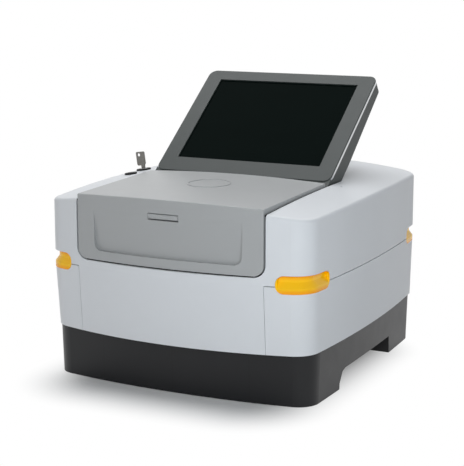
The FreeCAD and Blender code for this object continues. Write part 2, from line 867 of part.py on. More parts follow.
def makeLowerCovers():
    for side, label in ((-1, "left"), (1, "right")):
        outer = skirt("cover_form_" + label, "0", "plinthTop", "seamHeight - seamGap")
        core = skirt("cover_core_" + label, "shellWall", "plinthTop", "seamHeight - seamGap")
        shell = cut("cover_shell_" + label, outer, core)
        near, far = "apronHalf + seamGap / 2", "sideReach + 20"
        left, right = (near, far) if side > 0 else ("-(%s)" % far, "-(%s)" % near)
        half = block("cover_half_" + label, left, "-frontReach - 5", "plinthTop - 1", right, "rearReach + 5",
                     "seamHeight + 1")
        part = overlap("cover_part_" + label, shell, half)
        keep("lower_cover_" + label, cut("lower_cover_" + label, part, lampSeats))


def lampScoop():
    """What the lenses are drawn in by above their lip, all the way round the body."""
    around = newBody("lamp_around")
    pad(around, bodyOutline(sketchOn(around, "XY_Plane", "lampLip"), "-3"), "lampTop + 2 - lampLip")
    within = newBody("lamp_within")
    loft(within, bodyOutline(sketchOn(within, "XY_Plane", "lampLip")),
         bodyOutline(sketchOn(within, "XY_Plane", "lampStep"), "lampRecess"))
    pad(within, bodyOutline(sketchOn(within, "XY_Plane", "lampStep"), "lampRecess"),
        "lampTop + 3 - lampStep")
    return cut("lamp_scoop", around, within)


def makeLamps():
    boards = []
    scoop = lampScoop()
    for label, side, end in lampPlaces:
        band = ring(label + "_band", "0", "lampThick", "lampBottom", "lampTop")
        whole = overlap(label + "_whole", band, lampWindow(label + "_window", side, end))
        opening = lampWindow(label + "_opening", side, end, "-lampRim", "1")
        lens = cut(label + "_lens", whole, overlap(label + "_scoop", scoop, opening))
        flange = ring(label + "_flange", "lampThick", "lampThick + 2", "lampBottom - 3", "lampTop + 3")
        reach = lampWindow(label + "_reach", side, end, "3")
        keep(label, join(label, [lens, overlap(label + "_rim", flange, reach)]))
        board = ring(label + "_board", "lampThick + 2", "lampThick + 3.6", "lampBottom + 2", "lampTop - 2")
        boards.append(overlap(label + "_strip", board, lampWindow(label + "_span", side, end, "-2")))
    keep("lamp_boards", group("lamp_boards", boards))


# lid over the sample chamber

lidHub = "(lidSide + sqrt(pow(lidBow; 2) - pow(lidHalf; 2)))"
lidApex = "(%s - lidBow)" % lidHub


def underLid(y, x):
    """Height of the lid skin's underside at a point."""
    crown = "(sqrt(pow(lidCrown; 2) - pow(%s; 2)) - sqrt(pow(lidCrown; 2) - pow(lidHalf; 2)))" % x
    return "(lidFrontTop + (%s - lidSide) * tan(lidSlope) + %s - lidWall - fitGap)" % (y, crown)


def makeLid():
    skin = lidBlank("lid_form")
    low = value("lidBottom")
    blend(skin, "lidCorner",
          lambda edge: abs(edge.CenterOfMass.z - low) < 0.01 and abs(edge.CenterOfMass.x) > 10)
    front = value("lidSide") + 1
    blend(skin, "lidEdge", lambda edge: edge.BoundBox.YMax < front and edge.BoundBox.YMin < front - 2
          and edge.BoundBox.XLength > 100 and edge.CenterOfMass.z > low + 20)
    core = lidBlank("lid_core", "lidWall", "lidWall + scoopDepth", "lidWall", "lidBottom - 1", "lidRear + 5")
    cheek = newBody("cheek_cut")
    pad(cheek, profile(sketchOn(cheek, "YZ_Plane", "-lidHalf - 5"), [
        ("lidSide + cheekFoot", "lidBottom - 5"), ("lidRear + 5", "lidBottom - 5"),
        ("lidRear + 5", "lidFrontTop - cheekDrop"), ("lidSide + 2.4 * cheekFoot", "lidFrontTop - cheekDrop"),
        ("lidSide + cheekFoot", "lidBottom + cheekFoot")]), "2 * lidHalf + 10")
    window = newBody("scoop_window")
    frame = roundBox(sketchOn(window, "XZ_Plane", "-lidSide - 20"), "-scoopHalf", "scoopBottom",
                     "scoopHalf", "scoopTop + 2 * scoopCorner", "scoopCorner")
    pad(window, frame, "80")
    floor = newBody("scoop_floor")
    lean = "atan(scoopDepth / (scoopTop - scoopBottom))"
    bow = "(lidBow - scoopDepth)"
    edge = "((%s - sqrt(pow(%s; 2) - pow(lidHalf; 2))) * cos(%s))" % (lidHub, bow, lean)
    arc = sketchOn(floor, "XY_Plane", "scoopBottom", "0", lean)
    profile(arc, [("-lidHalf", edge + " - 60"), ("lidHalf", edge + " - 60"), ("lidHalf", edge, "in", bow),
                  ("-lidHalf", edge)])
    pad(floor, arc, "300", Midplane=True)
    scoop = overlap("scoop_cut", window, floor)
    slot = block("slot_cut", "-slotHalf", lidApex + " - 5", "slotBottom",
                 "slotHalf", lidApex + " + slotDepth", "slotTop")
    tail = block("slot_tail", "-tongueHalf - 1", lidApex + " + 5", "slotBottom + 1",
                 "tongueHalf + 1", lidApex + " + tongueReach + 4", "slotTop")

    def axle(name, size, spare):
        """A rod along the paddle's axis, longer than the slot by spare at each end."""
        return rod(name, size, "2 * (slotHalf + %s)" % spare, "-slotHalf - " + spare,
                   lidApex + " + paddleAxleIn", "slotTop - paddleAxleDrop", (0, 1, 0), "90")

    seat = axle("slot_axle", "paddlePin + runningGap", "4")
    keep("lid_skin", cut("lid_skin", skin, join("lid_tools", [core, cheek, scoop, slot, tail, seat])))

    paddle = newBody("paddle_form")
    inner = "(slotHalf - slotPlay)"
    face = "(%s + 0.6)" % lidApex
    back = "(%s + paddleThick)" % face
    barrel = "(%s + paddleAxleIn + 2.2)" % lidApex
    pad(paddle, profile(sketchOn(paddle, "YZ_Plane", "-" + inner), [
        (face, "slotBottom + paddleReveal"), (back, "slotBottom + paddleReveal"), (back, "slotTop - 5"),
        (barrel, "slotTop - 4.4"), (barrel, "slotTop - 1"), (face + " + 1.8", "slotTop - 0.9"),
        (face, "slotTop - 1.7")]), "2 * " + inner)
    tongue = block("paddle_tail", "-tongueHalf", barrel + " - 1", "slotTop - 4.2",
                   "tongueHalf", lidApex + " + tongueReach", "slotTop - 1.8")
    bore = axle("paddle_bore", "paddlePin + runningGap", "4")
    keep("latch_paddle", cut("latch_paddle", join("paddle_whole", [paddle, tongue]), bore))
    keep("latch_pin", axle("latch_pin", "paddlePin", "3.5"))

    liner = newBody("lid_liner")
    rise = "tan(lidSlope)"
    back = "(lidPivotY - 55)"
    pad(liner, profile(sketchOn(liner, "YZ_Plane", "-linerHalf + 6"), [
        ("linerFront", "lidBottom + 11"), ("linerFront + sheetThick", "lidBottom + 11"),
        ("linerFront + sheetThick", "linerTop - sheetThick"),
        (back, "linerTop - sheetThick + (%s - linerFront) * %s" % (back, rise)),
        (back, "linerTop + (%s - linerFront) * %s" % (back, rise)), ("linerFront", "linerTop")]),
        "2 * linerHalf - 12")
    keep("lid_liner", liner)
    bosses = []
    for x in ("-linerHalf + 20", "linerHalf - 20"):
        for y in ("linerFront + 12", "lidPivotY - 62"):
            base = "linerTop + (%s - linerFront + bossRadius) * %s" % (y, rise)
            tall = "%s - (%s)" % (underLid(y, "(linerHalf - 16)"), base)
            bosses.append(rod("liner_boss", "bossRadius", tall, x, y, base))
    keep("liner_bosses", group("liner_bosses", bosses))

    gasket = newBody("gasket_band")
    edge = "%s - sqrt(pow(lidBow - 1; 2) - pow(chamberHalf; 2))" % lidHub
    inside = "%s - sqrt(pow(lidBow - 8; 2) - pow(chamberHalf; 2))" % lidHub
    pad(gasket, profile(sketchOn(gasket, "XY_Plane", "wellFloor"), [
        ("-chamberHalf", edge, "out", "lidBow - 1"), ("chamberHalf", edge),
        ("chamberHalf", inside, "in", "lidBow - 8"), ("-chamberHalf", inside)]),
        "lidBottom - wellFloor - fitGap")
    keep("lid_gasket", gasket)

    arms, brackets, pins = [], [], []
    for side in ("", "-"):
        label = "right" if side == "" else "left"
        near = "hingeX" if side == "" else "-hingeX - hingeWidth"
        arm = newBody("hinge_arm_" + label)
        tip = "lidPivotY - 48"
        pad(arm, profile(sketchOn(arm, "YZ_Plane", near), [
            (tip, underLid("(%s)" % tip, "(hingeX + hingeWidth)") + " - 5"),
            ("lidPivotY - knuckle", "lidPivotZ - knuckle"),
            ("lidPivotY + knuckle - 0.2", "lidPivotZ - knuckle"),
            ("lidPivotY + knuckle - 0.2", underLid("(lidPivotY)", "(hingeX + hingeWidth)")),
            (tip, underLid("(%s)" % tip, "(hingeX + hingeWidth)"))]), "hingeWidth")
        hole = rod("arm_bore_" + label, "hingePin + runningGap", "4 * hingeWidth", near + " - hingeWidth",
                   "lidPivotY", "lidPivotZ", (0, 1, 0), "90")
        arms.append(cut("arm_" + label, arm, hole))
        outside = "hingeX + hingeWidth + fitGap" if side == "" else "-hingeX - 1.6 * hingeWidth - fitGap"
        bracket = newBody("hinge_bracket_" + label)
        pad(bracket, profile(sketchOn(bracket, "YZ_Plane", outside), [
            ("lidPivotY - knuckle", "wellRearTop - 9"), ("wellRear - fitGap", "wellRearTop - 9"),
            ("wellRear - fitGap", "wellRearTop - 2"), ("lidPivotY + knuckle", "wellRearTop - 1"),
            ("lidPivotY + knuckle", "lidPivotZ + 1"), ("lidPivotY + 1.5", "lidPivotZ + knuckle - 0.4"),
            ("lidPivotY - 1.5", "lidPivotZ + knuckle - 0.4"), ("lidPivotY - knuckle", "lidPivotZ + 1")]),
            "0.6 * hingeWidth")
        seat = rod("bracket_bore_" + label, "hingePin + runningGap", "4 * hingeWidth",
                   outside + " - hingeWidth", "lidPivotY", "lidPivotZ", (0, 1, 0), "90")
        brackets.append(cut("bracket_" + label, bracket, seat))
        start = "hingeX - 1" if side == "" else "-hingeX - 1.6 * hingeWidth - 1"
        pins.append(rod("hinge_pin_" + label, "hingePin", "1.6 * hingeWidth + 2", start,
                        "lidPivotY", "lidPivotZ", (0, 1, 0), "90"))
    keep("lid_hinge_arms", group("lid_hinge_arms", arms))
    keep("lid_hinge_brackets", group("lid_hinge_brackets", brackets))
    keep("lid_hinge_pins", group("lid_hinge_pins", pins))

    magnets, plates = [], []
    for x in ("-catchX", "catchX"):
        magnets.append(block("catch_magnet", x + " - 8", "linerFront - 5.5", "lidBottom + 12", x + " + 8",
                             "linerFront - fitGap", "lidBottom + 24"))
        plates.append(block("catch_plate", x + " - 9", "linerFront - 6", "wellFloor", x + " + 9",
                            "linerFront + 1", "lidBottom + 10.7"))
    keep("lid_magnets", group("lid_magnets", magnets))
    keep("catch_plates", group("catch_plates", plates))


# touch screen on the deck

def leaning(thing):
    """Put a thing drawn flat into the screen's leaning frame."""
    return place(thing, "0", "screenFootY", "screenFootZ", (1, 0, 0), "screenSlope")


def slab(name, half, low, high, corner, back, front):
    """A rounded plate of the screen, from the depth back to the depth front."""
    body = newBody(name)
    pad(body, roundBox(sketchOn(body, "XY_Plane", back), "-(%s)" % half, low, half, high, corner),
        "(%s) - (%s)" % (front, back))
    return body


def makeScreen():
    half, high = "screenWidth / 2", "screenHeight"
    view, viewTop = "viewWidth / 2", "viewBottom + viewHeight"
    bezel = slab("bezel_form", half, "bezelLow", high, "screenCorner", "-bezelFace", "0")
    blend(bezel, "bezelEdge", lambda edge: edge.BoundBox.ZMin > -0.01)
    pad(bezel, roundBox(sketchOn(bezel, "XY_Plane", "-bezelThick"), "-%s + trimThick" % half,
                        "bezelLow + trimThick", half + " - trimThick", high + " - trimThick",
                        "screenCorner - trimThick"), "bezelThick - bezelFace")
    opening = roundBox(sketchOn(bezel, "XY_Plane", "-bezelThick"), "-" + view, "viewBottom", view,
                       viewTop, "1")
    pocket(bezel, opening, "bezelThick + 1", Reversed=True)
    rebate = roundBox(sketchOn(bezel, "XY_Plane", "-bezelThick"), "-%s - 4" % view, "viewBottom - 4",
                      view + " + 4", viewTop + " + 4", "2")
    pocket(bezel, rebate, "bezelThick - glassThick - 1", Reversed=True)
    keep("screen_bezel", leaning(bezel))
    trim = slab("trim_form", half, "bezelLow", high, "screenCorner", "-bezelThick",
                "-bezelFace - runningGap")
    near = "(trimThick - runningGap)"
    inside = roundBox(sketchOn(trim, "XY_Plane", "-bezelThick"), "-%s + %s" % (half, near),
                      "bezelLow + " + near, "%s - %s" % (half, near), "%s - %s" % (high, near),
                      "screenCorner - trimThick")
    pocket(trim, inside, "bezelThick", Reversed=True)
    keep("screen_trim", leaning(trim))
    glassBack = "-2 * glassThick - 1"
    glass = slab("glass_form", view + " + 3.8", "viewBottom - 3.8", viewTop + " + 3.8", "1.5", glassBack,
                 "-glassThick - 1")
    keep("screen_glass", leaning(glass))
    panel = slab("lcd_form", view + " + 3", "viewBottom - 3", viewTop + " + 3", "1", "-bezelThick - 7",
                 glassBack + " - 0.1")
    keep("lcd_panel", leaning(panel))
    board = slab("board_form", "70", "60", "170", "3", "-bezelThick - 14", "-bezelThick - 12.4")
    for x in ("-60", "60"):
        for y in ("70", "160"):
            pad(board, circle(sketchOn(board, "XY_Plane", "-bezelThick - 12.4"), x, y, "3"), "5.2")
    keep("screen_board", leaning(board))

    side = newBody("shell_side")
    pad(side, profile(sketchOn(side, "YZ_Plane", "-" + half), [
        ("-15", "-9"), ("-1", "-shellLowThick + 5"), ("5", "-shellLowThick"),
        ("shellKnee", "-shellLowThick"),
        (high + " - 7", "-shellTopThick"), (high, "-shellTopThick + 7"), (high, "-bezelThick - runningGap"),
        ("bezelLow + footRise", "-bezelThick - runningGap"), ("bezelLow + footRise", "-1.2"),
        ("-8.5", "-1.2")]), "screenWidth")
    face = slab("shell_face", half, "-40", high, "screenCorner", "-shellLowThick - 5", "5")
    room = slab("bezel_room", half + " + fitGap", "bezelLow - fitGap", high + " + 5",
                "screenCorner + fitGap", "-bezelThick - runningGap", "5")
    core = newBody("shell_core")
    pad(core, profile(sketchOn(core, "YZ_Plane", "-%s + 3.5" % half), [
        ("4", "-shellLowThick + 8"), ("8", "-shellLowThick + 3"), ("shellKnee", "-shellLowThick + 3"),
        (high + " - 9", "-shellTopThick + 3"), (high + " - 3.5", "-shellTopThick + 9"),
        (high + " - 3.5", "0"), ("bezelLow + footRise + 3", "0"),
        ("bezelLow + footRise + 3", "-bezelThick - 3"), ("4", "-bezelThick - 3")]), "screenWidth - 7")
    shell = cut("shell_hollow", overlap("shell_round", side, face), join("shell_inside", [core, room]))
    pins, bores = [], []
    wall = "lidGap + wellWall"
    for way in (-1, 1):
        start = "-%s - %s" % (half, wall) if way < 0 else "%s - screenPinHold" % half
        pins.append(rod("screen_pin", "shaftRadius", "screenPinHold + " + wall, start,
                        "screenPivotY", "screenPivotZ", (0, 1, 0), "90"))
        bores.append(rod("screen_bore", "shaftRadius + runningGap", "screenPinHold + %s + 1" % wall,
                         start + (" - 1" if way > 0 else ""), "screenPivotY", "screenPivotZ",
                         (0, 1, 0), "90"))
    keep("screen_back_shell", cut("screen_back_shell", leaning(shell), join("screen_bores", bores)))
    keep("screen_hinge_pins", group("screen_hinge_pins", pins))


# button and key switch

def turned(name, corners):
    """A turned piece: the outline is radius against height."""
    body = newBody(name)
    spin(body, profile(sketchOn(body, "XZ_Plane"), corners))
    return body


def makeDeckControls():
    bore = "(capRadius + runningGap)"

    def collar(disc):
        return [(bore, "-barrelLength"), ("barrelRadius", "-barrelLength"), ("barrelRadius", "0"),
                (disc, "0"), (disc, "discProud - 0.8"), (disc + " - 0.8", "discProud"),
                (bore, "discProud")]

    keep("button_bezel", onDeck(turned("button_bezel", collar("discRadius")), "buttonX", "buttonY",
                                "discLift"))
    keep("standby_button", onDeck(turned("standby_button", [
        ("0", "-barrelLength + 1"), ("2.5", "-barrelLength + 1"), ("2.5", "-7"), ("capRadius", "-7"),
        ("capRadius", "discProud - 0.2"), ("capRadius - 0.6", "discProud + 0.4"), ("0", "discProud + 0.4")]),
        "buttonX", "buttonY", "discLift"))
    keep("button_switch", onDeck(turned("button_switch", [
        ("0", "-barrelLength - 18"), ("barrelRadius", "-barrelLength - 18"),
        ("barrelRadius", "-barrelLength - fitGap"), ("3", "-barrelLength - fitGap"),
        ("3", "-barrelLength - capTravel - 1.5"), ("0", "-barrelLength - capTravel - 1.5")]),
        "buttonX", "buttonY", "discLift"))
    keep("lock_escutcheon", onDeck(turned("lock_escutcheon", collar("lockDisc")), "lockX", "lockY",
                                   "discLift"))
    plug = turned("plug_form", [
        ("0", "-barrelLength + 1"), ("plugRadius", "-barrelLength + 1"), ("plugRadius", "discProud - 0.4"),
        ("plugRadius - 0.4", "discProud"), ("0", "discProud")])
    pocket(plug, box(sketchOn(plug, "XY_Plane", "discProud - keyDepth - 1"), "-keyWidth / 2 - runningGap",
                     "-keyThick / 2 - runningGap", "keyWidth / 2 + runningGap", "keyThick / 2 + runningGap"),
           "keyDepth + 5", Reversed=True)
    keep("lock_plug", onDeck(plug, "lockX", "lockY", "discLift"))
    keep("lock_body", onDeck(turned("lock_body", [
        ("0", "-barrelLength - 20"), ("barrelRadius", "-barrelLength - 20"),
        ("barrelRadius", "-barrelLength - fitGap"), ("0", "-barrelLength - fitGap")]),
        "lockX", "lockY", "discLift"))
    key = newBody("key_form")
    neck = "discProud + keyStem"
    top = neck + " + keyBowHeight"
    sketch = sketchOn(key, "XZ_Plane", "-keyThick / 2")
    profile(sketch, [
        ("-keyWidth / 2", "discProud - keyDepth + 2"), ("-keyWidth / 2 + 2", "discProud - keyDepth"),
        ("keyWidth / 2 - 2", "discProud - keyDepth"), ("keyWidth / 2", "discProud - keyDepth + 2"),
        ("keyWidth / 2", neck), ("keyBowRight", neck + " + keyShoulder"),
        ("keyBowRight", top + " - keyRound", "out", "keyRound"), ("keyBowRight - keyRound", top),
        ("-keyBowLeft + keyRound", top, "out", "keyRound"), ("-keyBowLeft", top + " - keyRound"),
        ("-keyBowLeft", neck + " + keyShoulder", "out", "keyShoulder"),
        ("-keyBowLeft + keyShoulder", neck), ("-keyWidth / 2", neck)])
    circle(sketch, "-keyBowLeft + keyHoleInset", top + " - keyHoleInset", "keyHole")
    pad(key, sketch, "keyThick")
    keep("key", onDeck(key, "lockX", "lockY", "discLift"))


# sample spinner: a ring gear that turns the cup over the beam

def toothAngle(teeth, size):
    """Half the angle that an involute tooth spans at a given radius, in degrees."""
    pitch = "(gearModule * %s / 2)" % teeth
    base = "(%s * cos(20))" % pitch
    spread = "(tan(20) - 20 * pi / 180)"
    turn = "(acos(min(%s / (%s); 1)) / 1deg)" % (base, size)
    return ("(90 / %s - backlash * 45 / (pi * %s) + (%s - tan(%s) + %s * pi / 180) * 180 / pi)"
            % (teeth, pitch, spread, turn, turn))


def addTeeth(body, teeth, low, high):
    """One involute tooth on the body's rim, patterned round its axis."""
    pitch = "(gearModule * %s / 2)" % teeth
    root, tip = pitch + " - 1.2 * gearModule", pitch + " + 0.85 * gearModule"
    heel = root + " - 0.5"
    levels = [heel, root + " + 0.35 * gearModule", pitch, tip]
    half = ["(%s)" % toothAngle(teeth, level if level is not heel else root) for level in levels]
    right = [("(%s) * cos(%s)" % (level, angle), "-(%s) * sin(%s)" % (level, angle))
             for level, angle in zip(levels, half)]
    left = [("(%s) * cos(%s)" % (level, angle), "(%s) * sin(%s)" % (level, angle))
            for level, angle in zip(levels, half)]
    flanks = profile(sketchOn(body, "XY_Plane", low), right + left[::-1])
    tooth = pad(body, flanks, "(%s) - (%s)" % (high, low))
    polar(body, tooth, teeth)


pinionY = "(sampleY + gearModule * (spinnerTeeth + pinionTeeth) / 2 + 0.1)"


def makeSpinner():
    liner = newBody("liner_form")
    front, rear, foot = "linerFront + 9", "wellRear - 22", "wellFloor"
    floor = "wellFloor + linerWall"
    pad(liner, box(sketchOn(liner, "XY_Plane", foot), "-chamberHalf", front, "chamberHalf", rear), "75")
    half = "chamberHalf - linerWall"
    pocket(liner, box(sketchOn(liner, "XY_Plane", floor), "-(%s)" % half, front + " + linerWall",
                      half, rear + " - linerWall"), "80", Reversed=True)
    pocket(liner, box(sketchOn(liner, "XY_Plane", floor + " + 24"), "-(%s)" % half, front + " - 1",
                      half, front + " + linerWall + 1"), "80", Reversed=True)
    for y, size in (("sampleY", "bearingInner"), (pinionY, "shaftRadius + 1")):
        pocket(liner, circle(sketchOn(liner, "XY_Plane", foot), "0", y, size), "5", Reversed=True)
    keep("chamber_liner", liner)

    bearing = turned("spinner_bearing", [
        ("bearingInner", "0"), ("bearingOuter", "0"), ("bearingOuter", "6"), ("bearingInner", "6")])
    keep("spinner_bearing", place(bearing, "0", "sampleY", floor))

    ringGear = newBody("sample_spinner")
    rootRadius = "gearModule * spinnerTeeth / 2 - 1.2 * gearModule"
    spin(ringGear, profile(sketchOn(ringGear, "XZ_Plane"), [
        ("cupLipRadius", "spinnerBottom"), ("bearingInner - 0.8", "spinnerBottom"),
        ("bearingInner - 0.8", floor + " + 6 + fitGap"),
        ("bearingOuter + runningGap", floor + " + 6 + fitGap"),
        ("bearingOuter + runningGap", "spinnerBottom"), (rootRadius, "spinnerBottom"),
        (rootRadius, "spinnerTop"), ("cupRadius", "spinnerTop"), ("cupRadius", "spinnerBottom + 1.5"),
        ("cupLipRadius", "spinnerBottom + 1.5")]))
    addTeeth(ringGear, "spinnerTeeth", "spinnerBottom", "spinnerTop")
    keep("sample_spinner", place(ringGear, "0", "sampleY", "0", (0, 0, 1), "90"))

    pinion = newBody("spinner_pinion")
    core = "gearModule * pinionTeeth / 2 - 1.2 * gearModule"
    spin(pinion, profile(sketchOn(pinion, "XZ_Plane"), [
        ("0", "wellFloor - 14"), ("shaftRadius", "wellFloor - 14"), ("shaftRadius", "spinnerBottom"),
        (core, "spinnerBottom"), (core, "spinnerTop"), ("0", "spinnerTop")]))
    addTeeth(pinion, "pinionTeeth", "spinnerBottom", "spinnerTop")
    keep("spinner_pinion", place(pinion, "0", pinionY, "0", (0, 0, 1), "180 / pinionTeeth - 90"))

    motor = turned("spinner_motor", [
        ("0", "-38"), ("14", "-38"), ("16", "-36"), ("16", "0"), ("shaftRadius + runningGap", "0"),
        ("shaftRadius + runningGap", "-16"), ("0", "-16")])
    keep("spinner_motor", place(motor, "0", pinionY, "wellFloor"))


# tube, filters, shutter and detector under the sample

def makeMeasuringHead():
    detectorAngle = "90 + detectorTilt"
    focus = "wellFloor + linerWall"
    head = newBody("head_form")
    pad(head, roundBox(sketchOn(head, "XY_Plane", "headBottom"), "-headHalf", "headFront",
                       "headHalf", "headRear", "4"), "wellFloor - headBottom")
    beam = circle(sketchOn(head, "XY_Plane", "headBottom"), "0", "sampleY", "beamRadius")
    pocket(head, beam, "60", Reversed=True)
    pocket(head, circle(sketchOn(head, "XY_Plane", "wellFloor"), "0", "sampleY", "cupLipRadius - 4"), "6")
    bore = rod("detector_bore", "detectorNose + runningGap", "120", "0", "sampleY", focus,
               (0, 1, 0), detectorAngle)
    keep("measuring_head", cut("measuring_head", head, bore))

    nose = turned("detector_form", [
        ("0", "detectorStart"), ("detectorNose", "detectorStart"), ("detectorNose", "detectorStart + 30"),
        ("detectorRadius", "detectorStart + 30"), ("detectorRadius", "detectorStart + 40"),
        ("detectorRadius - 2", "detectorStart + 42"), ("detectorRadius - 2", "detectorStart + 46"),
        ("detectorRadius", "detectorStart + 48"), ("detectorRadius", "detectorStart + detectorLength"),
        ("0", "detectorStart + detectorLength")])
    place(nose, "0", "sampleY", focus, (0, 1, 0), detectorAngle)
    foot = "(detectorStart + detectorLength - 20)"
    stand = block("detector_foot", foot + " * cos(detectorTilt) - 8", "sampleY - 6", "plinthTop + plateThick",
                  foot + " * cos(detectorTilt) + 8", "sampleY + 6",
                  focus + " - %s * sin(detectorTilt)" % foot)
    keep("detector", join("detector", [nose, stand]))

    base = "(plinthTop + plateThick)"
    fins = [("0", "0"), ("tubeRadius + 4", "0"), ("tubeRadius + 4", "4"), ("tubeRadius", "4")]
    for i in range(4):
        low = "(12 + %d * 8)" % i
        fins += [("tubeRadius", low), ("tubeRadius + 3", low), ("tubeRadius + 3", low + " + 3"),
                 ("tubeRadius", low + " + 3")]
    top = "tubeTop - plinthTop - plateThick"
    fins += [("tubeRadius", top + " - 5"), ("10", top + " - 5"), ("10", top), ("0", top)]
    keep("xray_tube", place(turned("xray_tube", fins), "0", "sampleY", base))

    wheel = newBody("filter_wheel")
    spin(wheel, profile(sketchOn(wheel, "XZ_Plane"), [
        ("0", "-14"), ("shaftRadius", "-14"), ("shaftRadius", "0"), ("wheelRadius", "0"),
        ("wheelRadius", "wheelThick"), ("6", "wheelThick"), ("6", "wheelThick + 1"),
        ("0", "wheelThick + 1")]))
    window = circle(sketchOn(wheel, "XY_Plane"), "filterOffset", "0", "filterRadius")
    hole = pocket(wheel, window, "wheelThick + 5", Reversed=True)
    polar(wheel, hole, "6")
    keep("filter_wheel", place(wheel, "-filterOffset", "sampleY", "wheelBottom"))
    under = "(wheelBottom - plinthTop - plateThick)"
    socket = "shaftRadius + runningGap"
    motor = turned("filter_motor", [
        ("0", "0"), ("8", "0"), ("8", under + " - 34"), ("13", under + " - 34"), ("13", under + " - 3"),
        (socket, under + " - 3"), (socket, under + " - 16"), ("0", under + " - 16")])
    keep("filter_motor", place(motor, "-filterOffset", "sampleY", base))

    blade = newBody("shutter_blade")
    reach = "sampleY - shutterPivotY"
    pad(blade, profile(sketchOn(blade, "XY_Plane"), [
        ("-5", "0"), ("5", "0"), ("beamRadius", reach), ("-beamRadius", reach)]), "shutterThick")
    pad(blade, circle(sketchOn(blade, "XY_Plane"), "0", "0", "6"), "shutterThick")
    pad(blade, circle(sketchOn(blade, "XY_Plane"), "0", reach, "beamRadius + 2"), "shutterThick")
    pad(blade, circle(sketchOn(blade, "XY_Plane", "shutterThick"), "0", "0", "2.5"), "16")
    keep("shutter_blade", place(blade, "0", "shutterPivotY", "shutterBottom"))
    solenoid = turned("shutter_solenoid", [
        ("2.5 + runningGap", "headBottom - wellFloor"), ("12", "headBottom - wellFloor"), ("12", "0"),
        ("0", "0"), ("0", "-8"), ("2.5 + runningGap", "-8")])
    keep("shutter_solenoid", place(solenoid, "0", "shutterPivotY", "wellFloor"))


# electronics on the chassis plate

def makeElectronics():
    base = "plinthTop + plateThick"
    generator = newBody("hv_generator")
    right, rear = "generatorLeft + generatorWidth", "generatorFront + generatorDepth"
    top = "%s + generatorHeight" % base
    pad(generator, roundBox(sketchOn(generator, "XY_Plane", base), "generatorLeft", "generatorFront",
                            right, rear, "6"), "generatorHeight")
    for i in range(6):
        near = "(generatorFront + 20 + %d * coolerPitch)" % i
        slot = box(sketchOn(generator, "XY_Plane", top), "generatorLeft + coolerDepth", near,
                   right + " - coolerDepth", near + " + coolerSlot")
        pocket(generator, slot, "coolerDepth")
    pad(generator, circle(sketchOn(generator, "XY_Plane", top + " - coolerDepth"),
                          right + " - 3 * cablePostRadius",
                          rear + " - 2 * cablePostRadius", "cablePostRadius"), "14")
    keep("hv_generator", generator)

    supply = newBody("power_supply")
    right, rear = "supplyLeft + supplyWidth", "supplyFront + supplyDepth"
    pad(supply, box(sketchOn(supply, "XY_Plane", base), "supplyLeft", "supplyFront", right, rear),
        "supplyHeight")
    for i in range(8):
        near = "(supplyFront + 12 + %d * ventPitch)" % i
        vent = roundBox(sketchOn(supply, "XY_Plane", base + " + supplyHeight"), "supplyLeft + 10", near,
                        right + " - 10", near + " + ventWidth", "3")
        pocket(supply, vent, "ventDepth")
    keep("power_supply", supply)

    board = newBody("control_board")
    right, rear = "boardLeft + boardWidth", "boardFront + boardDepth"
    pad(board, roundBox(sketchOn(board, "XY_Plane", base + " + boardLift"), "boardLeft", "boardFront",
                        right, rear, "3"), "boardThick")
    for x in ("boardLeft + standoffInset", right + " - standoffInset"):
        for y in ("boardFront + standoffInset", rear + " - standoffInset"):
            pad(board, circle(sketchOn(board, "XY_Plane", base), x, y, "standoffRadius"), "boardLift + 1")
    chips = (("20", "20", "34", "34", "4"), ("80", "24", "22", "22", "3"),
             ("30", "80", "50", "12", "9"), ("100", "90", "14", "30", "12"))
    for left, near, wide, deep, tall in chips:
        plan = box(sketchOn(board, "XY_Plane", base + " + boardLift + 1"), "boardLeft + " + left,
                   "boardFront + " + near, "boardLeft + %s + %s" % (left, wide),
                   "boardFront + %s + %s" % (near, deep))
        pad(board, plan, tall)
    keep("control_board", board)


panelY = "(rearReach - rearPanelGap)"
panelInner = "(rearReach - rearPanelGap - rearPanelThick)"
panelLow = "(plinthTop + plateThick + fitGap)"
panelHigh = "(seamHeight - seamGap)"
panelTall = "(%s - %s)" % (panelHigh, panelLow)
panelCorners = [(x, z) for x in ("-apronHalf + panelBoltInset", "apronHalf - panelBoltInset")
                for z in ("-panelBoltInset", "panelBoltInset - " + panelTall)]
fanCorners = [(x, z) for x in ("-fanHalf + fanBoltInset", "fanHalf - fanBoltInset")
              for z in ("-fanHalf + fanBoltInset", "fanHalf - fanBoltInset")]


def facing(thing, x, y, z):
    """Turn a thing drawn flat so that its own up axis points out of the back."""
    return place(thing, x, y, z, (1, 0, 0), "-90")


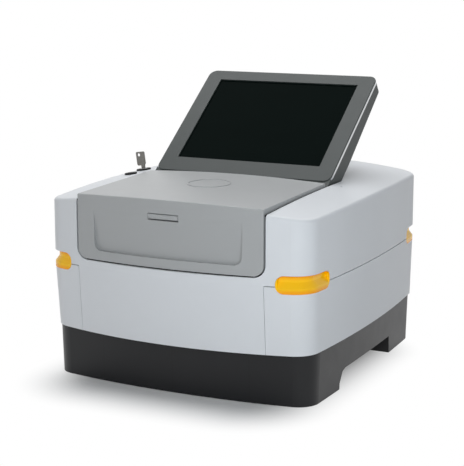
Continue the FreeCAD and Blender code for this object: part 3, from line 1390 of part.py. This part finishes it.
def makeRear():
    """Rear panel with its openings, and the screws that hold it and the fan."""
    panel = newBody("panel_form")
    wide = "(apronHalf - panelSideGap)"
    pad(panel, box(sketchOn(panel, "XY_Plane"), "-" + wide, "-" + panelTall, wide, "0"), "rearPanelThick")
    fanDrop = "fanZ - " + panelHigh
    inletDrop = "inletZ - " + panelHigh
    switchDrop = inletDrop + " + switchRise"

    def opening(shape, *edges):
        pocket(panel, shape(sketchOn(panel, "XY_Plane"), *edges), "20", Midplane=True)

    opening(circle, "fanX", fanDrop, "fanBladeRadius + 2")
    opening(roundBox, "inletX - inletHalf", inletDrop + " - inletRise",
            "inletX + inletHalf", inletDrop + " + inletRise", "2")
    opening(roundBox, "inletX - switchHalf", switchDrop + " - switchTall",
            "inletX + switchHalf", switchDrop + " + switchTall", "1")
    for i in range(3):
        left = "(portFirst + %d * portPitch)" % i
        opening(roundBox, left, inletDrop + " - portTall", left + " + portWidth",
                inletDrop + " + portTall", "0.8")
    fanBolts = [("fanX + (%s)" % x, "%s + (%s)" % (fanDrop, z)) for x, z in fanCorners]
    screws = []
    for x, z in panelCorners + fanBolts:
        opening(circle, x, z, "boltHole")
        screw = turned("screw", [("0", "-9"), ("boltHole - 0.3", "-9"), ("boltHole - 0.3", "0"), ("3.6", "0"),
                                 ("3.2", "1.6"), ("0", "2.2")])
        screws.append(facing(screw, x, panelY, "%s + (%s)" % (panelHigh, z)))
    keep("rear_panel", place(panel, "0", panelY, panelHigh, (1, 0, 0), "90"))
    keep("housing_screws", group("housing_screws", screws))


def makeFan():
    frame = newBody("fan_frame")
    far = "-fanDepth"
    pad(frame, roundBox(sketchOn(frame, "XY_Plane", far), "-fanHalf", "-fanHalf", "fanHalf", "fanHalf", "4"),
        "fanDepth")
    for x, y, size in [("0", "0", "fanBladeRadius + 1.5")] + [(x, y, "boltHole") for x, y in fanCorners]:
        pocket(frame, circle(sketchOn(frame, "XY_Plane", far + " - 1"), x, y, size), "fanDepth + 2",
               Reversed=True)
    pad(frame, circle(sketchOn(frame, "XY_Plane", far), "0", "0", "fanHub"), "3")
    strut = pad(frame, box(sketchOn(frame, "XY_Plane", far), "fanHub - 4", "-2", "fanBladeRadius + 3", "2"),
                "3")
    polar(frame, strut, "4")
    pocket(frame, circle(sketchOn(frame, "XY_Plane", far + " - 1"), "0", "0", "fanAxle + runningGap"), "6",
           Reversed=True)
    keep("fan_housing", facing(frame, "fanX", panelInner, "fanZ"))

    rotor = newBody("fan_rotor")
    spin(rotor, profile(sketchOn(rotor, "XZ_Plane"), [
        ("0", far + " + 0.5"), ("fanAxle", far + " + 0.5"), ("fanAxle", far + " + 3.6"),
        ("fanHub", far + " + 3.6"), ("fanHub", "-4"), ("fanHub - 2", "-2"), ("0", "-2")]))
    vane = pad(rotor, profile(sketchOn(rotor, "YZ_Plane", "fanHub - 2"), [
        ("-9", far + " + 5"), ("-7", far + " + 4.4"), ("0", "-fanDepth / 2 + 0.6"), ("8", "-3.4"),
        ("6.5", "-3"), ("-1.5", "-fanDepth / 2 + 1.4")]), "fanBladeRadius - fanHub + 1")
    polar(rotor, vane, "7")
    keep("fan_rotor", facing(rotor, "fanX", panelInner, "fanZ"))

    grille = newBody("fan_grille")
    for i in range(4):
        size = "(8 + %d * 7.5)" % i
        spin(grille, profile(sketchOn(grille, "XZ_Plane"), [
            (size, "-2"), (size + " + 2", "-2"), (size + " + 2", "0"), (size, "0")]))
        doc.recompute()
        if i == 0:
            bar = pad(grille, box(sketchOn(grille, "XY_Plane", "-2"), "8.5", "-1.4",
                                  "fanBladeRadius + 1.4", "1.4"), "2")
            polar(grille, bar, "4")
    spin(grille, profile(sketchOn(grille, "XZ_Plane"), [
        ("fanBladeRadius + 0.4", "-rearPanelThick"), ("fanBladeRadius + 1.7", "-rearPanelThick"),
        ("fanBladeRadius + 1.7", "0"), ("fanBladeRadius + 0.4", "0")]))
    keep("fan_grille", facing(grille, "fanX", panelY, "fanZ"))


def makeSockets():
    inlet = newBody("mains_inlet")
    wide, tall = "(inletHalf + inletFlange)", "(inletRise + inletFlange)"
    pad(inlet, roundBox(sketchOn(inlet, "XY_Plane"), "-" + wide, "-" + tall, wide, tall, "3"), "2")
    wide, tall = "(inletHalf - fitGap)", "(inletRise - fitGap)"
    pad(inlet, roundBox(sketchOn(inlet, "XY_Plane", "-24"), "-" + wide, "-" + tall, wide, tall, "2"), "24.5")
    pocket(inlet, profile(sketchOn(inlet, "XY_Plane", "2"), [
        ("-12", "-8"), ("12", "-8"), ("12", "3"), ("7.5", "8"), ("-7.5", "8"), ("-12", "3")]), "17")
    for x, y in (("-7", "-2"), ("0", "2"), ("7", "-2")):
        prong = box(sketchOn(inlet, "XY_Plane", "-16"), x + " - 1", y + " - 2.2", x + " + 1", y + " + 2.2")
        pad(inlet, prong, "14")
    keep("mains_inlet", facing(inlet, "inletX", panelY, "inletZ"))

    switch = newBody("mains_switch")
    wide, tall = "(switchHalf + 2)", "(switchTall + 2)"
    pad(switch, roundBox(sketchOn(switch, "XY_Plane"), "-" + wide, "-" + tall, wide, tall, "1.5"), "1.6")
    wide, tall = "(switchHalf - fitGap)", "(switchTall - fitGap)"
    pad(switch, roundBox(sketchOn(switch, "XY_Plane", "-18"), "-" + wide, "-" + tall, wide, tall, "1"),
        "18.4")
    wide, tall = "(switchHalf - 1.8)", "(switchTall - 1.4)"
    pocket(switch, box(sketchOn(switch, "XY_Plane", "2"), "-" + wide, "-" + tall, wide, tall), "13")
    pivot = circle(sketchOn(switch, "XZ_Plane"), "0", "-rockerPivot", "rockerPin + runningGap")
    pocket(switch, pivot, "2 * switchTall + 4", Midplane=True)
    keep("mains_switch", facing(switch, "inletX", panelY, "inletZ + switchRise"))
    rocker = newBody("rocker_form")
    tall = "(switchTall - 1.8)"
    pad(rocker, profile(sketchOn(rocker, "XZ_Plane", "-" + tall), [
        ("-3", "rockerPivot - 5"), ("3", "rockerPivot - 5"), ("8.6", "rockerPivot + 0.2"),
        ("8.3", "rockerPivot + 2.4"), ("0", "rockerPivot + 0.9"), ("-8.3", "rockerPivot + 2.4"),
        ("-8.6", "rockerPivot + 0.2")]), "2 * " + tall)
    pin = circle(sketchOn(rocker, "XZ_Plane"), "0", "0", "rockerPin")
    pad(rocker, pin, "2 * (switchTall - fitGap) - 0.4", Midplane=True)
    place(rocker, "0", "0", "-rockerPivot", (0, 1, 0), "-rockerTilt")
    keep("mains_rocker", facing(group("mains_rocker", [rocker]), "inletX", panelY, "inletZ + switchRise"))

    ports = newBody("data_ports")
    pad(ports, box(sketchOn(ports, "XY_Plane", "-20"), "portFirst - 2", "-portTall - 2",
                   "portFirst + 2 * portPitch + portWidth + 2.6", "portTall + 2"), "16.7")
    for i in range(3):
        left = "(portFirst + %d * portPitch)" % i
        tall = "(portTall - fitGap)"
        pad(ports, box(sketchOn(ports, "XY_Plane", "-4"), left + " + fitGap", "-" + tall,
                       left + " + portWidth - fitGap", tall), "4")
        tall = "(portTall - 1.5)"
        pocket(ports, box(sketchOn(ports, "XY_Plane"), left + " + 1.5", "-" + tall,
                          left + " + portWidth - 1.5", tall), "12")
    keep("data_ports", facing(ports, "0", panelY, "inletZ"))


makePlinth()
makeChassisPlate()
makeHousing()
makeLowerCovers()
makeLamps()
makeLid()
makeScreen()
makeDeckControls()
makeSpinner()
makeMeasuringHead()
makeElectronics()
makeRear()
makeFan()
makeSockets()
doc.recompute()

# every object has to be sound before any file is written
failed = [thing.Name for thing in doc.Objects if "Invalid" in thing.State or "Error" in thing.State]
if failed:
    raise RuntimeError("failed objects: " + ", ".join(failed))
for name, thing in nodes.items():
    if thing.Shape.isNull() or not thing.Shape.isValid() or not thing.Shape.Solids:
        raise RuntimeError("bad shape: " + name)
os.makedirs("parts", exist_ok=True)
for name, thing in nodes.items():
    thing.Shape.exportStep("parts/%s.step" % name)
print("%d nodes written" % len(nodes))
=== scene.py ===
import bmesh
import bpy
import json
import math
from mathutils import Matrix, Vector


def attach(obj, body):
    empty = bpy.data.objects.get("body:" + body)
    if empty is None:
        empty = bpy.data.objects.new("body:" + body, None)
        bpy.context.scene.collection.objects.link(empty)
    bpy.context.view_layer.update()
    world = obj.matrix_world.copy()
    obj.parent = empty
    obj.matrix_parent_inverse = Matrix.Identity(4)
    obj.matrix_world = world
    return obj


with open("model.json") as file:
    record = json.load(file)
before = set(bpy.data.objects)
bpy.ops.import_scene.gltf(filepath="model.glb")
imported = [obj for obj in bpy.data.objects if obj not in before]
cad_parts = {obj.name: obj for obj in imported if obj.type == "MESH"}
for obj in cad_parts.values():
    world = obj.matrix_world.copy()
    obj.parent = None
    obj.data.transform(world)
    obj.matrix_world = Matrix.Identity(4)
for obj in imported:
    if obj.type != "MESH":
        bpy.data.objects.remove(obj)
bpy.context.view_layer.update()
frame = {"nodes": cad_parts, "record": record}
print("frame loaded:", len(frame["nodes"]), "nodes")


def linear(red, green, blue):
    # a screen colour, 0 to 255, as the renderer's own light values
    return tuple((c / 255 / 12.92) if c <= 10 else ((c / 255 + 0.055) / 1.055) ** 2.4 for c in (red, green, blue))


class Wire:
    # a socket that adds, multiplies and compares like a number
    def __init__(self, paint, socket):
        self.paint = paint
        self.socket = socket

    def math(self, operation, *others):
        return self.paint.node("Math", {"operation": operation}, dict(enumerate((self,) + others)))

    def __add__(self, other):
        return self.math("ADD", other)

    def __sub__(self, other):
        return self.math("SUBTRACT", other)

    def __mul__(self, other):
        return self.math("MULTIPLY", other)

    def __truediv__(self, other):
        return self.math("DIVIDE", other)

    def __radd__(self, other):
        return self + other

    def __rmul__(self, other):
        return self * other

    def __rsub__(self, other):
        return self.paint.node("Math", {"operation": "SUBTRACT"}, {0: other, 1: self})

    def power(self, other):
        return self.math("POWER", other)

    def size(self):
        return self.math("ABSOLUTE")

    def below(self, other):
        return self.math("LESS_THAN", other)

    def most(self, other):
        return self.math("MAXIMUM", other)

    def rise(self, low, high):
        # 0 below low, 1 above high, smooth between
        return self.paint.node("MapRange", {"interpolation_type": "SMOOTHSTEP"},
                               {"Value": self, "From Min": low, "From Max": high})


class Paint:
    def __init__(self, name, **fixed):
        self.material = bpy.data.materials.new(name)
        self.material.use_nodes = True
        self.tree = self.material.node_tree
        self.tree.nodes.clear()
        self.out = self.tree.nodes.new("ShaderNodeOutputMaterial")
        self.shader = self.tree.nodes.new("ShaderNodeBsdfPrincipled")
        self.tree.links.new(self.shader.outputs[0], self.out.inputs[0])
        self.put(self.shader, fixed)
        self.place = self.node("TexCoord", out="Object")

    def put(self, node, values):
        for name, value in values.items():
            socket = node.inputs[name]
            if isinstance(value, Wire):
                self.tree.links.new(value.socket, socket)
            elif hasattr(socket.default_value, "__len__") and len(value) == 3 and len(socket.default_value) == 4:
                socket.default_value = (*value, 1)
            else:
                socket.default_value = value

    def node(self, kind, settings=None, values=None, out=0):
        made = self.tree.nodes.new("ShaderNode" + kind)
        for name, setting in (settings or {}).items():
            if name == "stops":
                ramp = made.color_ramp
                while len(ramp.elements) < len(setting):
                    ramp.elements.new(0.5)
                for element, (spot, colour) in zip(ramp.elements, setting):
                    element.position = spot
                    element.color = (*colour, 1)
            else:
                setattr(made, name, setting)
        self.put(made, values or {})
        return Wire(self, made.outputs[out])

    def axes(self):
        made = self.node("SeparateXYZ", values={0: self.place})
        return [Wire(self, socket) for socket in made.socket.node.outputs]

    def grain(self, scale, detail=3.0, rough=0.55, stretch=None, kind="Noise"):
        spot = self.place
        if stretch is not None:
            spot = self.node("Mapping", values={"Vector": spot, "Scale": stretch})
        if kind == "Cells":
            return self.node("TexVoronoi", values={"Vector": spot, "Scale": scale})
        return self.node("TexNoise", values={"Vector": spot, "Scale": scale, "Detail": detail, "Roughness": rough})

    def mix(self, share, first, second):
        made = self.tree.nodes.new("ShaderNodeMix")
        made.data_type = "RGBA"
        self.put(made, {0: share})
        for index, colour in ((6, first), (7, second)):
            if isinstance(colour, Wire):
                self.tree.links.new(colour.socket, made.inputs[index])
            else:
                made.inputs[index].default_value = (*colour, 1)
        return Wire(self, made.outputs[2])

    def bump(self, height, depth, strength=1.0):
        made = self.node("Bump", values={"Height": height, "Distance": depth, "Strength": strength})
        self.put(self.shader, {"Normal": made})

    def use(self, **values):
        self.put(self.shader, {name.replace("_", " "): value for name, value in values.items()})


def shade(colour, factor):
    return tuple(min(c * factor, 1) for c in colour)


# moulded and painted finishes
finishes = {
    "whiteShell": {"colour": linear(222, 225, 229), "rough": 0.42, "grain": 900, "depth": 0.00004, "tone": 0.03},
    "greyLid": {"colour": linear(170, 172, 173), "rough": 0.38, "grain": 1100, "depth": 0.00003, "tone": 0.03},
    "screenGrey": {"colour": linear(56, 62, 61), "rough": 0.42, "grain": 1200, "depth": 0.00003, "tone": 0.05,
                   "gloss": 0.25},
    "charcoal": {"colour": linear(15, 16, 19), "rough": 0.40, "grain": 700, "depth": 0.00008, "tone": 0.10,
                 "gloss": 0.33},
    "satinBlack": {"colour": linear(9, 9, 10), "rough": 0.38, "grain": 1000, "depth": 0.00003, "tone": 0.12,
                   "gloss": 0.2},
    "naturalAcetal": {"colour": linear(226, 221, 206), "rough": 0.35, "grain": 500, "depth": 0.00002, "tone": 0.04},
    "softRubber": {"colour": linear(34, 34, 35), "rough": 0.82, "grain": 450, "depth": 0.00010, "tone": 0.12},
}


def moulded(name, look):
    paint = Paint(name, **{"Specular IOR Level": look.get("gloss", 0.5)})
    broad = paint.grain(9, 2)
    smear = paint.grain(38, 5, 0.6)
    fine = paint.grain(look["grain"], 2, 0.5)
    share = broad * 0.7 + smear * 0.3
    tone = look["tone"]
    paint.use(Base_Color=paint.mix(share, shade(look["colour"], 1 - tone), shade(look["colour"], 1 + tone)),
              Roughness=look["rough"] - 0.05 + smear * 0.10)
    paint.bump(fine, look["depth"])
    return paint


def plinthPaint(look):
    # charcoal moulding with three fine joint lines down its front
    paint = moulded("charcoal", look)
    x, y, z = paint.axes()
    joint = None
    for at in look["joints"]:
        line = 1 - (x - at).size().rise(look["jointHalf"] * 0.5, look["jointHalf"])
        joint = line if joint is None else joint.most(line)
    joint = joint * y.below(look["jointRear"])
    old = paint.shader.inputs["Base Color"].links[0].from_socket
    dark = shade(look["colour"], look["jointDark"])
    paint.use(Base_Color=paint.mix(joint * look["jointShare"], Wire(paint, old), dark))
    return paint


def metal(name, colour, rough, stretch, scale=260, depth=0.00002):
    paint = Paint(name, Metallic=1.0)
    lines = paint.grain(scale, 3, 0.6, stretch)
    haze = paint.grain(20, 3)
    paint.use(Base_Color=paint.mix(lines * 0.6 + haze * 0.4, shade(colour, 0.82), shade(colour, 1.12)),
              Roughness=rough - 0.08 + lines * 0.10 + haze * 0.06)
    paint.bump(lines, depth)
    return paint


def amberLens(look):
    # clear amber moulding with painted light: a lit amber through its middle, fading to painted shade in a shaded
    # amber towards its top and bottom, a faint painted glow though it is no lamp, and fine upright ribs on the
    # inside
    paint = Paint("amberLens", Roughness=0.22, **{"Coat Roughness": 0.08, "IOR": 1.49, "Specular IOR Level": 0.25})
    x, y, z = paint.axes()
    # painted light and shade: the lit amber fills the middle band and the shaded amber its top and bottom
    middle = 1 - ((z - look["middle"]).size() / look["half"]).rise(0.35, 1.0)
    ribs = (x + y * 0.8).math("MULTIPLY", look["ribs"]).math("SINE") * 0.5 + 0.5
    soft = paint.grain(30, 2)
    body = paint.mix(middle * 0.75 + soft * 0.25, look["edge"], look["core"])
    body = paint.mix(ribs * 0.10, body, look["edge"])
    # the emission is a painted glow in the painted lit and shaded amber; the lens is no lamp
    paint.use(Base_Color=body, Emission_Color=body, Emission_Strength=look["paintedGlow"], Coat_Weight=look["coat"])
    paint.bump(ribs, 0.00005)
    return paint


def displayGlass(look):
    paint = Paint("displayGlass", **{"IOR": 1.5, "Specular IOR Level": look["gloss"], "Coat Roughness": 0.04})
    smear = paint.grain(14, 4, 0.6, (1.0, 2.5, 1.0))
    paint.use(Base_Color=paint.mix(smear, shade(look["colour"], 0.9), shade(look["colour"], 1.15)),
              Roughness=0.09 + smear * 0.05)
    return paint


def circuitBoard(look):
    # green solder mask with copper tracks showing through and a scatter of small gold pads
    paint = Paint("circuitBoard", **{"Coat Roughness": 0.1})
    tracks = paint.node("TexBrick", {"offset": 0.5, "squash": 1.0},
                        {"Vector": paint.place, "Color1": (1, 1, 1), "Color2": (1, 1, 1), "Mortar": (0, 0, 0),
                         "Scale": 1.0, "Mortar Size": 0.0004, "Brick Width": 0.006, "Row Height": 0.003},
                        out="Fac")
    pads = paint.grain(330, kind="Cells").below(0.16)
    colour = paint.mix(tracks * 0.5, look["mask"], look["track"])
    colour = paint.mix(pads, colour, look["pad"])
    paint.use(Base_Color=colour, Metallic=pads * 0.9, Roughness=0.42 - pads * 0.12)
    paint.bump(tracks + pads, 0.00004)
    return paint


def keyMetal(look):
    # nickel over brass: rubbed bright on the faces, dull and brown in the scratches
    paint = Paint("keyMetal", Metallic=1.0)
    scratch = paint.grain(500, 4, 0.7, (1.0, 1.0, 6.0)).rise(0.50, 0.72)
    worn = paint.grain(120, 3).rise(0.45, 0.75)
    colour = paint.mix(scratch, look["bright"], look["dull"])
    colour = paint.mix(worn * 0.5, colour, look["brass"])
    paint.use(Base_Color=colour, Roughness=0.30 + scratch * 0.18 + worn * 0.10)
    paint.bump(scratch, 0.00005)
    return paint


plinthLook = dict(finishes["charcoal"], joints=(-0.119, 0.0, 0.121), jointHalf=0.0005, jointRear=-0.1,
                  jointDark=0.2, jointShare=0.75)
# lit and shaded copies of the amber for painted light and shade, and the strength of a painted glow
lensLook = {"core": linear(255, 205, 2), "edge": linear(250, 152, 0), "middle": 0.1787, "half": 0.0128,
            "ribs": 2 * math.pi / 0.0022, "paintedGlow": 0.08, "coat": 0.08}
glassLook = {"colour": linear(8, 18, 16), "gloss": 0.004}
boardLook = {"mask": linear(14, 84, 46), "track": linear(34, 120, 66), "pad": linear(212, 178, 92)}
keyLook = {"bright": linear(118, 117, 114), "dull": linear(36, 34, 31), "brass": linear(84, 76, 62)}

paints = {name: moulded(name, look) for name, look in finishes.items() if name != "charcoal"}
paints["charcoal"] = plinthPaint(plinthLook)
paints["brightTrim"] = metal("brightTrim", linear(206, 208, 210), 0.24, (1.0, 12.0, 12.0), 180, 0.00001)
paints["sheetSteel"] = metal("sheetSteel", linear(176, 178, 180), 0.42, (1.0, 18.0, 18.0))
paints["turnedSteel"] = metal("turnedSteel", linear(196, 197, 198), 0.26, (14.0, 14.0, 1.0))
paints["milledAluminium"] = metal("milledAluminium", linear(204, 206, 208), 0.34, (20.0, 1.0, 20.0))
paints["bronze"] = metal("bronze", linear(196, 158, 92), 0.32, (12.0, 12.0, 1.0))
paints["amberLens"] = amberLens(lensLook)
paints["displayGlass"] = displayGlass(glassLook)
paints["circuitBoard"] = circuitBoard(boardLook)
paints["keyMetal"] = keyMetal(keyLook)
print("finishes made:", len(paints))

# the finish of each CAD node, by the record's material slot
slotFinish = {
    "white_shell": "whiteShell", "grey_lid": "greyLid", "screen_grey": "screenGrey", "bright_trim": "brightTrim",
    "dark_glass": "displayGlass", "charcoal": "charcoal", "black": "satinBlack", "amber_lens": "amberLens",
    "key_metal": "keyMetal", "steel": "sheetSteel", "bright_steel": "turnedSteel",
    "aluminium_block": "milledAluminium", "rubber": "softRubber", "board_green": "circuitBoard",
    "gear_plastic": "naturalAcetal", "brass_bearing": "bronze",
}


def dress(thing, finish):
    thing.data.materials.clear()
    thing.data.materials.append(paints[finish].material)


for part in frame["record"]["subparts"]:
    if part["node"] in frame["nodes"]:
        dress(frame["nodes"][part["node"]], slotFinish[part["material_slot"]])
print("nodes dressed")


def newPiece(name, mesh, finish, body):
    # a bmesh in the object's own frame becomes a piece that rides on a body
    data = bpy.data.meshes.new(name)
    mesh.to_mesh(data)
    mesh.free()
    thing = bpy.data.objects.new(name, data)
    bpy.context.scene.collection.objects.link(thing)
    dress(thing, finish)
    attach(thing, body)
    return thing


# plain raised ring on top of the lid, and the lid's own crown and slope under it
ring = {"x": 0.0, "y": -0.107, "outer": 0.033, "inner": 0.0305, "proud": 0.0008, "sink": 0.0006, "steps": 96,
        "rim": 0.0003}
lidTop = {"front": -0.2325, "height": 0.283, "slope": 1.7, "crown": 2.5, "half": 0.15}


def lidRing():
    slope = math.radians(lidTop["slope"])
    height = lidTop["height"] + (ring["y"] - lidTop["front"]) * math.tan(slope)
    height += (math.sqrt(lidTop["crown"] ** 2 - ring["x"] ** 2)
               - math.sqrt(lidTop["crown"] ** 2 - lidTop["half"] ** 2))
    mesh = bmesh.new()
    section = [(ring["inner"], -ring["sink"]), (ring["inner"], ring["proud"]), (ring["outer"], ring["proud"]),
               (ring["outer"], -ring["sink"])]
    spots = [mesh.verts.new((r, 0, z)) for r, z in section]
    edges = [mesh.edges.new((spots[i], spots[(i + 1) % 4])) for i in range(4)]
    bmesh.ops.spin(mesh, geom=spots + edges, cent=(0, 0, 0), axis=(0, 0, 1), angle=2 * math.pi,
                   steps=ring["steps"], use_merge=True)
    bmesh.ops.remove_doubles(mesh, verts=mesh.verts, dist=1e-6)
    rims = [e for e in mesh.edges if all(v.co.z > 0 for v in e.verts) and len(e.link_faces) == 2
            and e.calc_face_angle(0) > 1]
    bmesh.ops.bevel(mesh, geom=rims, offset=ring["rim"], segments=2, profile=0.5, affect="EDGES", material=-1)
    bmesh.ops.recalc_face_normals(mesh, faces=mesh.faces)
    move = Matrix.Translation((ring["x"], ring["y"], height)) @ Matrix.Rotation(slope, 4, "X")
    bmesh.ops.transform(mesh, matrix=move, verts=mesh.verts)
    for face in mesh.faces:
        face.smooth = True
    return newPiece("lidRing", mesh, "greyLid", "lid")


# round plugs, lying along x, that close the screen pins' bores at the deck
borePlug = {"x": 0.1615, "y": 0.0, "z": 0.2795, "radius": 0.00295, "length": 0.016, "rim": 0.0004}


def borePlugs():
    for side, sign in (("Left", -1), ("Right", 1)):
        mesh = bmesh.new()
        bmesh.ops.create_cone(mesh, cap_ends=True, cap_tris=False, segments=48, radius1=borePlug["radius"],
                              radius2=borePlug["radius"], depth=borePlug["length"])
        rims = [e for e in mesh.edges if e.calc_face_angle(0) > 1]
        bmesh.ops.bevel(mesh, geom=rims, offset=borePlug["rim"], segments=2, profile=0.5, affect="EDGES",
                        material=-1)
        place = Matrix.Translation((sign * borePlug["x"], borePlug["y"], borePlug["z"]))
        bmesh.ops.transform(mesh, matrix=place @ Matrix.Rotation(math.radians(90), 4, "Y"), verts=mesh.verts)
        for face in mesh.faces:
            face.smooth = len(face.verts) == 4
        newPiece("borePlug" + side, mesh, "whiteShell", "instrument")


# black strips in the gaps beside the lid, a little below the deck, put there as painted shade to show the gaps dark
gapSeal = {"inner": 0.1504, "outer": 0.1532, "front": -0.2300, "rear": -0.0185, "below": 0.0004,
           "depth": 0.002, "steps": 24}
deck = {"top": 0.294, "cross": 1.3, "along": 4.125, "centre": 0.052}


def deckHeight(x, y):
    return (deck["top"] - deck["cross"] + math.sqrt(deck["cross"] ** 2 - x ** 2)
            - deck["along"] + math.sqrt(deck["along"] ** 2 - (y - deck["centre"]) ** 2))


def gapShadeStrips():
    top = deckHeight(gapSeal["outer"], gapSeal["front"]) - gapSeal["below"]
    low = top - gapSeal["depth"]
    pivot = (0, deck["centre"], deckHeight(gapSeal["outer"], deck["centre"]) - deck["along"])
    sweep = (gapSeal["rear"] - gapSeal["front"]) / deck["along"]
    for side, sign in (("Left", -1), ("Right", 1)):
        mesh = bmesh.new()
        inner, outer = sign * gapSeal["inner"], sign * gapSeal["outer"]
        spots = [mesh.verts.new((x, gapSeal["front"], z)) for x, z in ((inner, low), (outer, low), (outer, top),
                                                                      (inner, top))]
        start = mesh.faces.new(spots)
        bmesh.ops.spin(mesh, geom=[start] + list(start.edges) + spots, cent=pivot, axis=(1, 0, 0), angle=-sweep,
                       steps=gapSeal["steps"])
        bmesh.ops.remove_doubles(mesh, verts=mesh.verts, dist=1e-6)
        bmesh.ops.recalc_face_normals(mesh, faces=mesh.faces)
        # each strip is a dark sheet of painted shade in the gap
        newPiece("gapSeal" + side, mesh, "satinBlack", "instrument")


lidRing()
borePlugs()
gapShadeStrips()
print("pieces made")

# camera at the photograph's viewing angle
view = {"place": (0.9627, -1.9299, 0.6153), "turn": 26.8907, "dip": 10.9633, "sensor": 36.0,
        "focalPixels": 1406.01, "framePixels": 466}
lensData = bpy.data.cameras.new("camera")
lensData.lens = view["sensor"] * view["focalPixels"] / view["framePixels"]
lensData.sensor_width = view["sensor"]
camera = bpy.data.objects.new("camera", lensData)
camera.location = view["place"]
camera.rotation_euler = (math.radians(90 - view["dip"]), 0, math.radians(view["turn"]))
bpy.context.scene.collection.objects.link(camera)
bpy.context.scene.camera = camera

# soft studio light
lamps = {
    "front": {"at": (0.5, -2.7, 1.5), "aim": (0, 0, 0.15), "size": 1.6, "power": 16, "tint": (1.0, 0.995, 0.985)},
    "left": {"at": (-2.4, -1.6, 1.2), "aim": (0, 0, 0.15), "size": 1.4, "power": 8, "tint": (1.0, 0.995, 0.985)},
    "nearRight": {"at": (0.85, -1.0, 0.55), "aim": (0.15, 0, 0.15), "size": 0.5, "power": 4.8,
                  "tint": (0.90, 0.96, 1.0)},
    "overhead": {"at": (-0.6, 1.0, 2.45), "aim": (0, 0, 0.2), "size": 2.2, "power": 46, "tint": (0.98, 0.99, 1.0)},
}
for name, lamp in lamps.items():
    data = bpy.data.lights.new(name, "AREA")
    data.shape = "SQUARE"
    data.size = lamp["size"]
    data.energy = lamp["power"]
    data.color = lamp["tint"]
    thing = bpy.data.objects.new(name, data)
    thing.location = lamp["at"]
    thing.rotation_euler = (Vector(lamp["aim"]) - Vector(lamp["at"])).to_track_quat("-Z", "Y").to_euler()
    bpy.context.scene.collection.objects.link(thing)

# white surroundings: seen directly, in gloss and through glass; everything else gets a plain sky
sky = {"white": 1.0, "light": 0.1, "tint": (0.92, 0.96, 1.0)}
world = bpy.data.worlds.new("studio")
bpy.context.scene.world = world
world.use_nodes = True
tree = world.node_tree
tree.nodes.clear()


class Backdrop(Paint):
    def __init__(self, tree):
        self.tree = tree
        self.place = self.node("TexCoord", out="Object")

    def seen(self):
        path = self.node("LightPath").socket.node.outputs
        seen = Wire(self, path["Is Camera Ray"])
        return seen.most(Wire(self, path["Is Glossy Ray"])).most(Wire(self, path["Is Transmission Ray"]))


back = Backdrop(tree)
seen = back.seen()
plain = back.node("Background", values={"Color": sky["tint"], "Strength": sky["light"]})
white = back.node("Background", values={"Color": (1, 1, 1), "Strength": sky["white"]})
surroundings = back.node("MixShader", values={0: seen, 1: plain, 2: white})
worldOut = tree.nodes.new("ShaderNodeOutputWorld")
tree.links.new(surroundings.socket, worldOut.inputs[0])

# the floor is plain white emission away from the base; a matte patch round the base, set by a rectangle pushed
# forward, paints a soft shadow there, and the matte part also keeps the real shadow
floorLook = {"half": 6.0, "albedo": 0.82, "side": 0.11, "front": -0.21, "rear": 0.10, "near": 0.02, "far": 0.15}
floorData = bmesh.new()
bmesh.ops.create_grid(floorData, x_segments=2, y_segments=2, size=floorLook["half"])
floorMesh = bpy.data.meshes.new("floor")
floorData.to_mesh(floorMesh)
floorData.free()
floor = bpy.data.objects.new("floor", floorMesh)
bpy.context.scene.collection.objects.link(floor)
floorMaterial = bpy.data.materials.new("floor")
floorMaterial.use_nodes = True
tree = floorMaterial.node_tree
tree.nodes.clear()
ground = Backdrop(tree)
matte = ground.node("BsdfDiffuse", values={"Color": (floorLook["albedo"],) * 3})
lit = ground.node("Emission", values={"Color": (1, 1, 1), "Strength": 1.0})
x, y, z = ground.axes()
# beside, beyond and away give the distance outside the rectangle of the painted shadow
beside = (x.size() - floorLook["side"]).most(0)
beyond = (floorLook["front"] - y).most(y - floorLook["rear"]).most(0)
away = (beside * beside + beyond * beyond).power(0.5)
# painted shadow: matte near the base, fading to white emission further out
paintedShadowMix = ground.node("MixShader", values={0: away.rise(floorLook["near"], floorLook["far"]), 1: matte, 2: lit})
shown = ground.node("MixShader", values={0: ground.seen(), 1: matte, 2: paintedShadowMix})
floorOut = tree.nodes.new("ShaderNodeOutputMaterial")
tree.links.new(shown.socket, floorOut.inputs[0])
floorMesh.materials.append(floorMaterial)

bpy.context.scene.view_settings.view_transform = "Standard"
print("camera and light set")
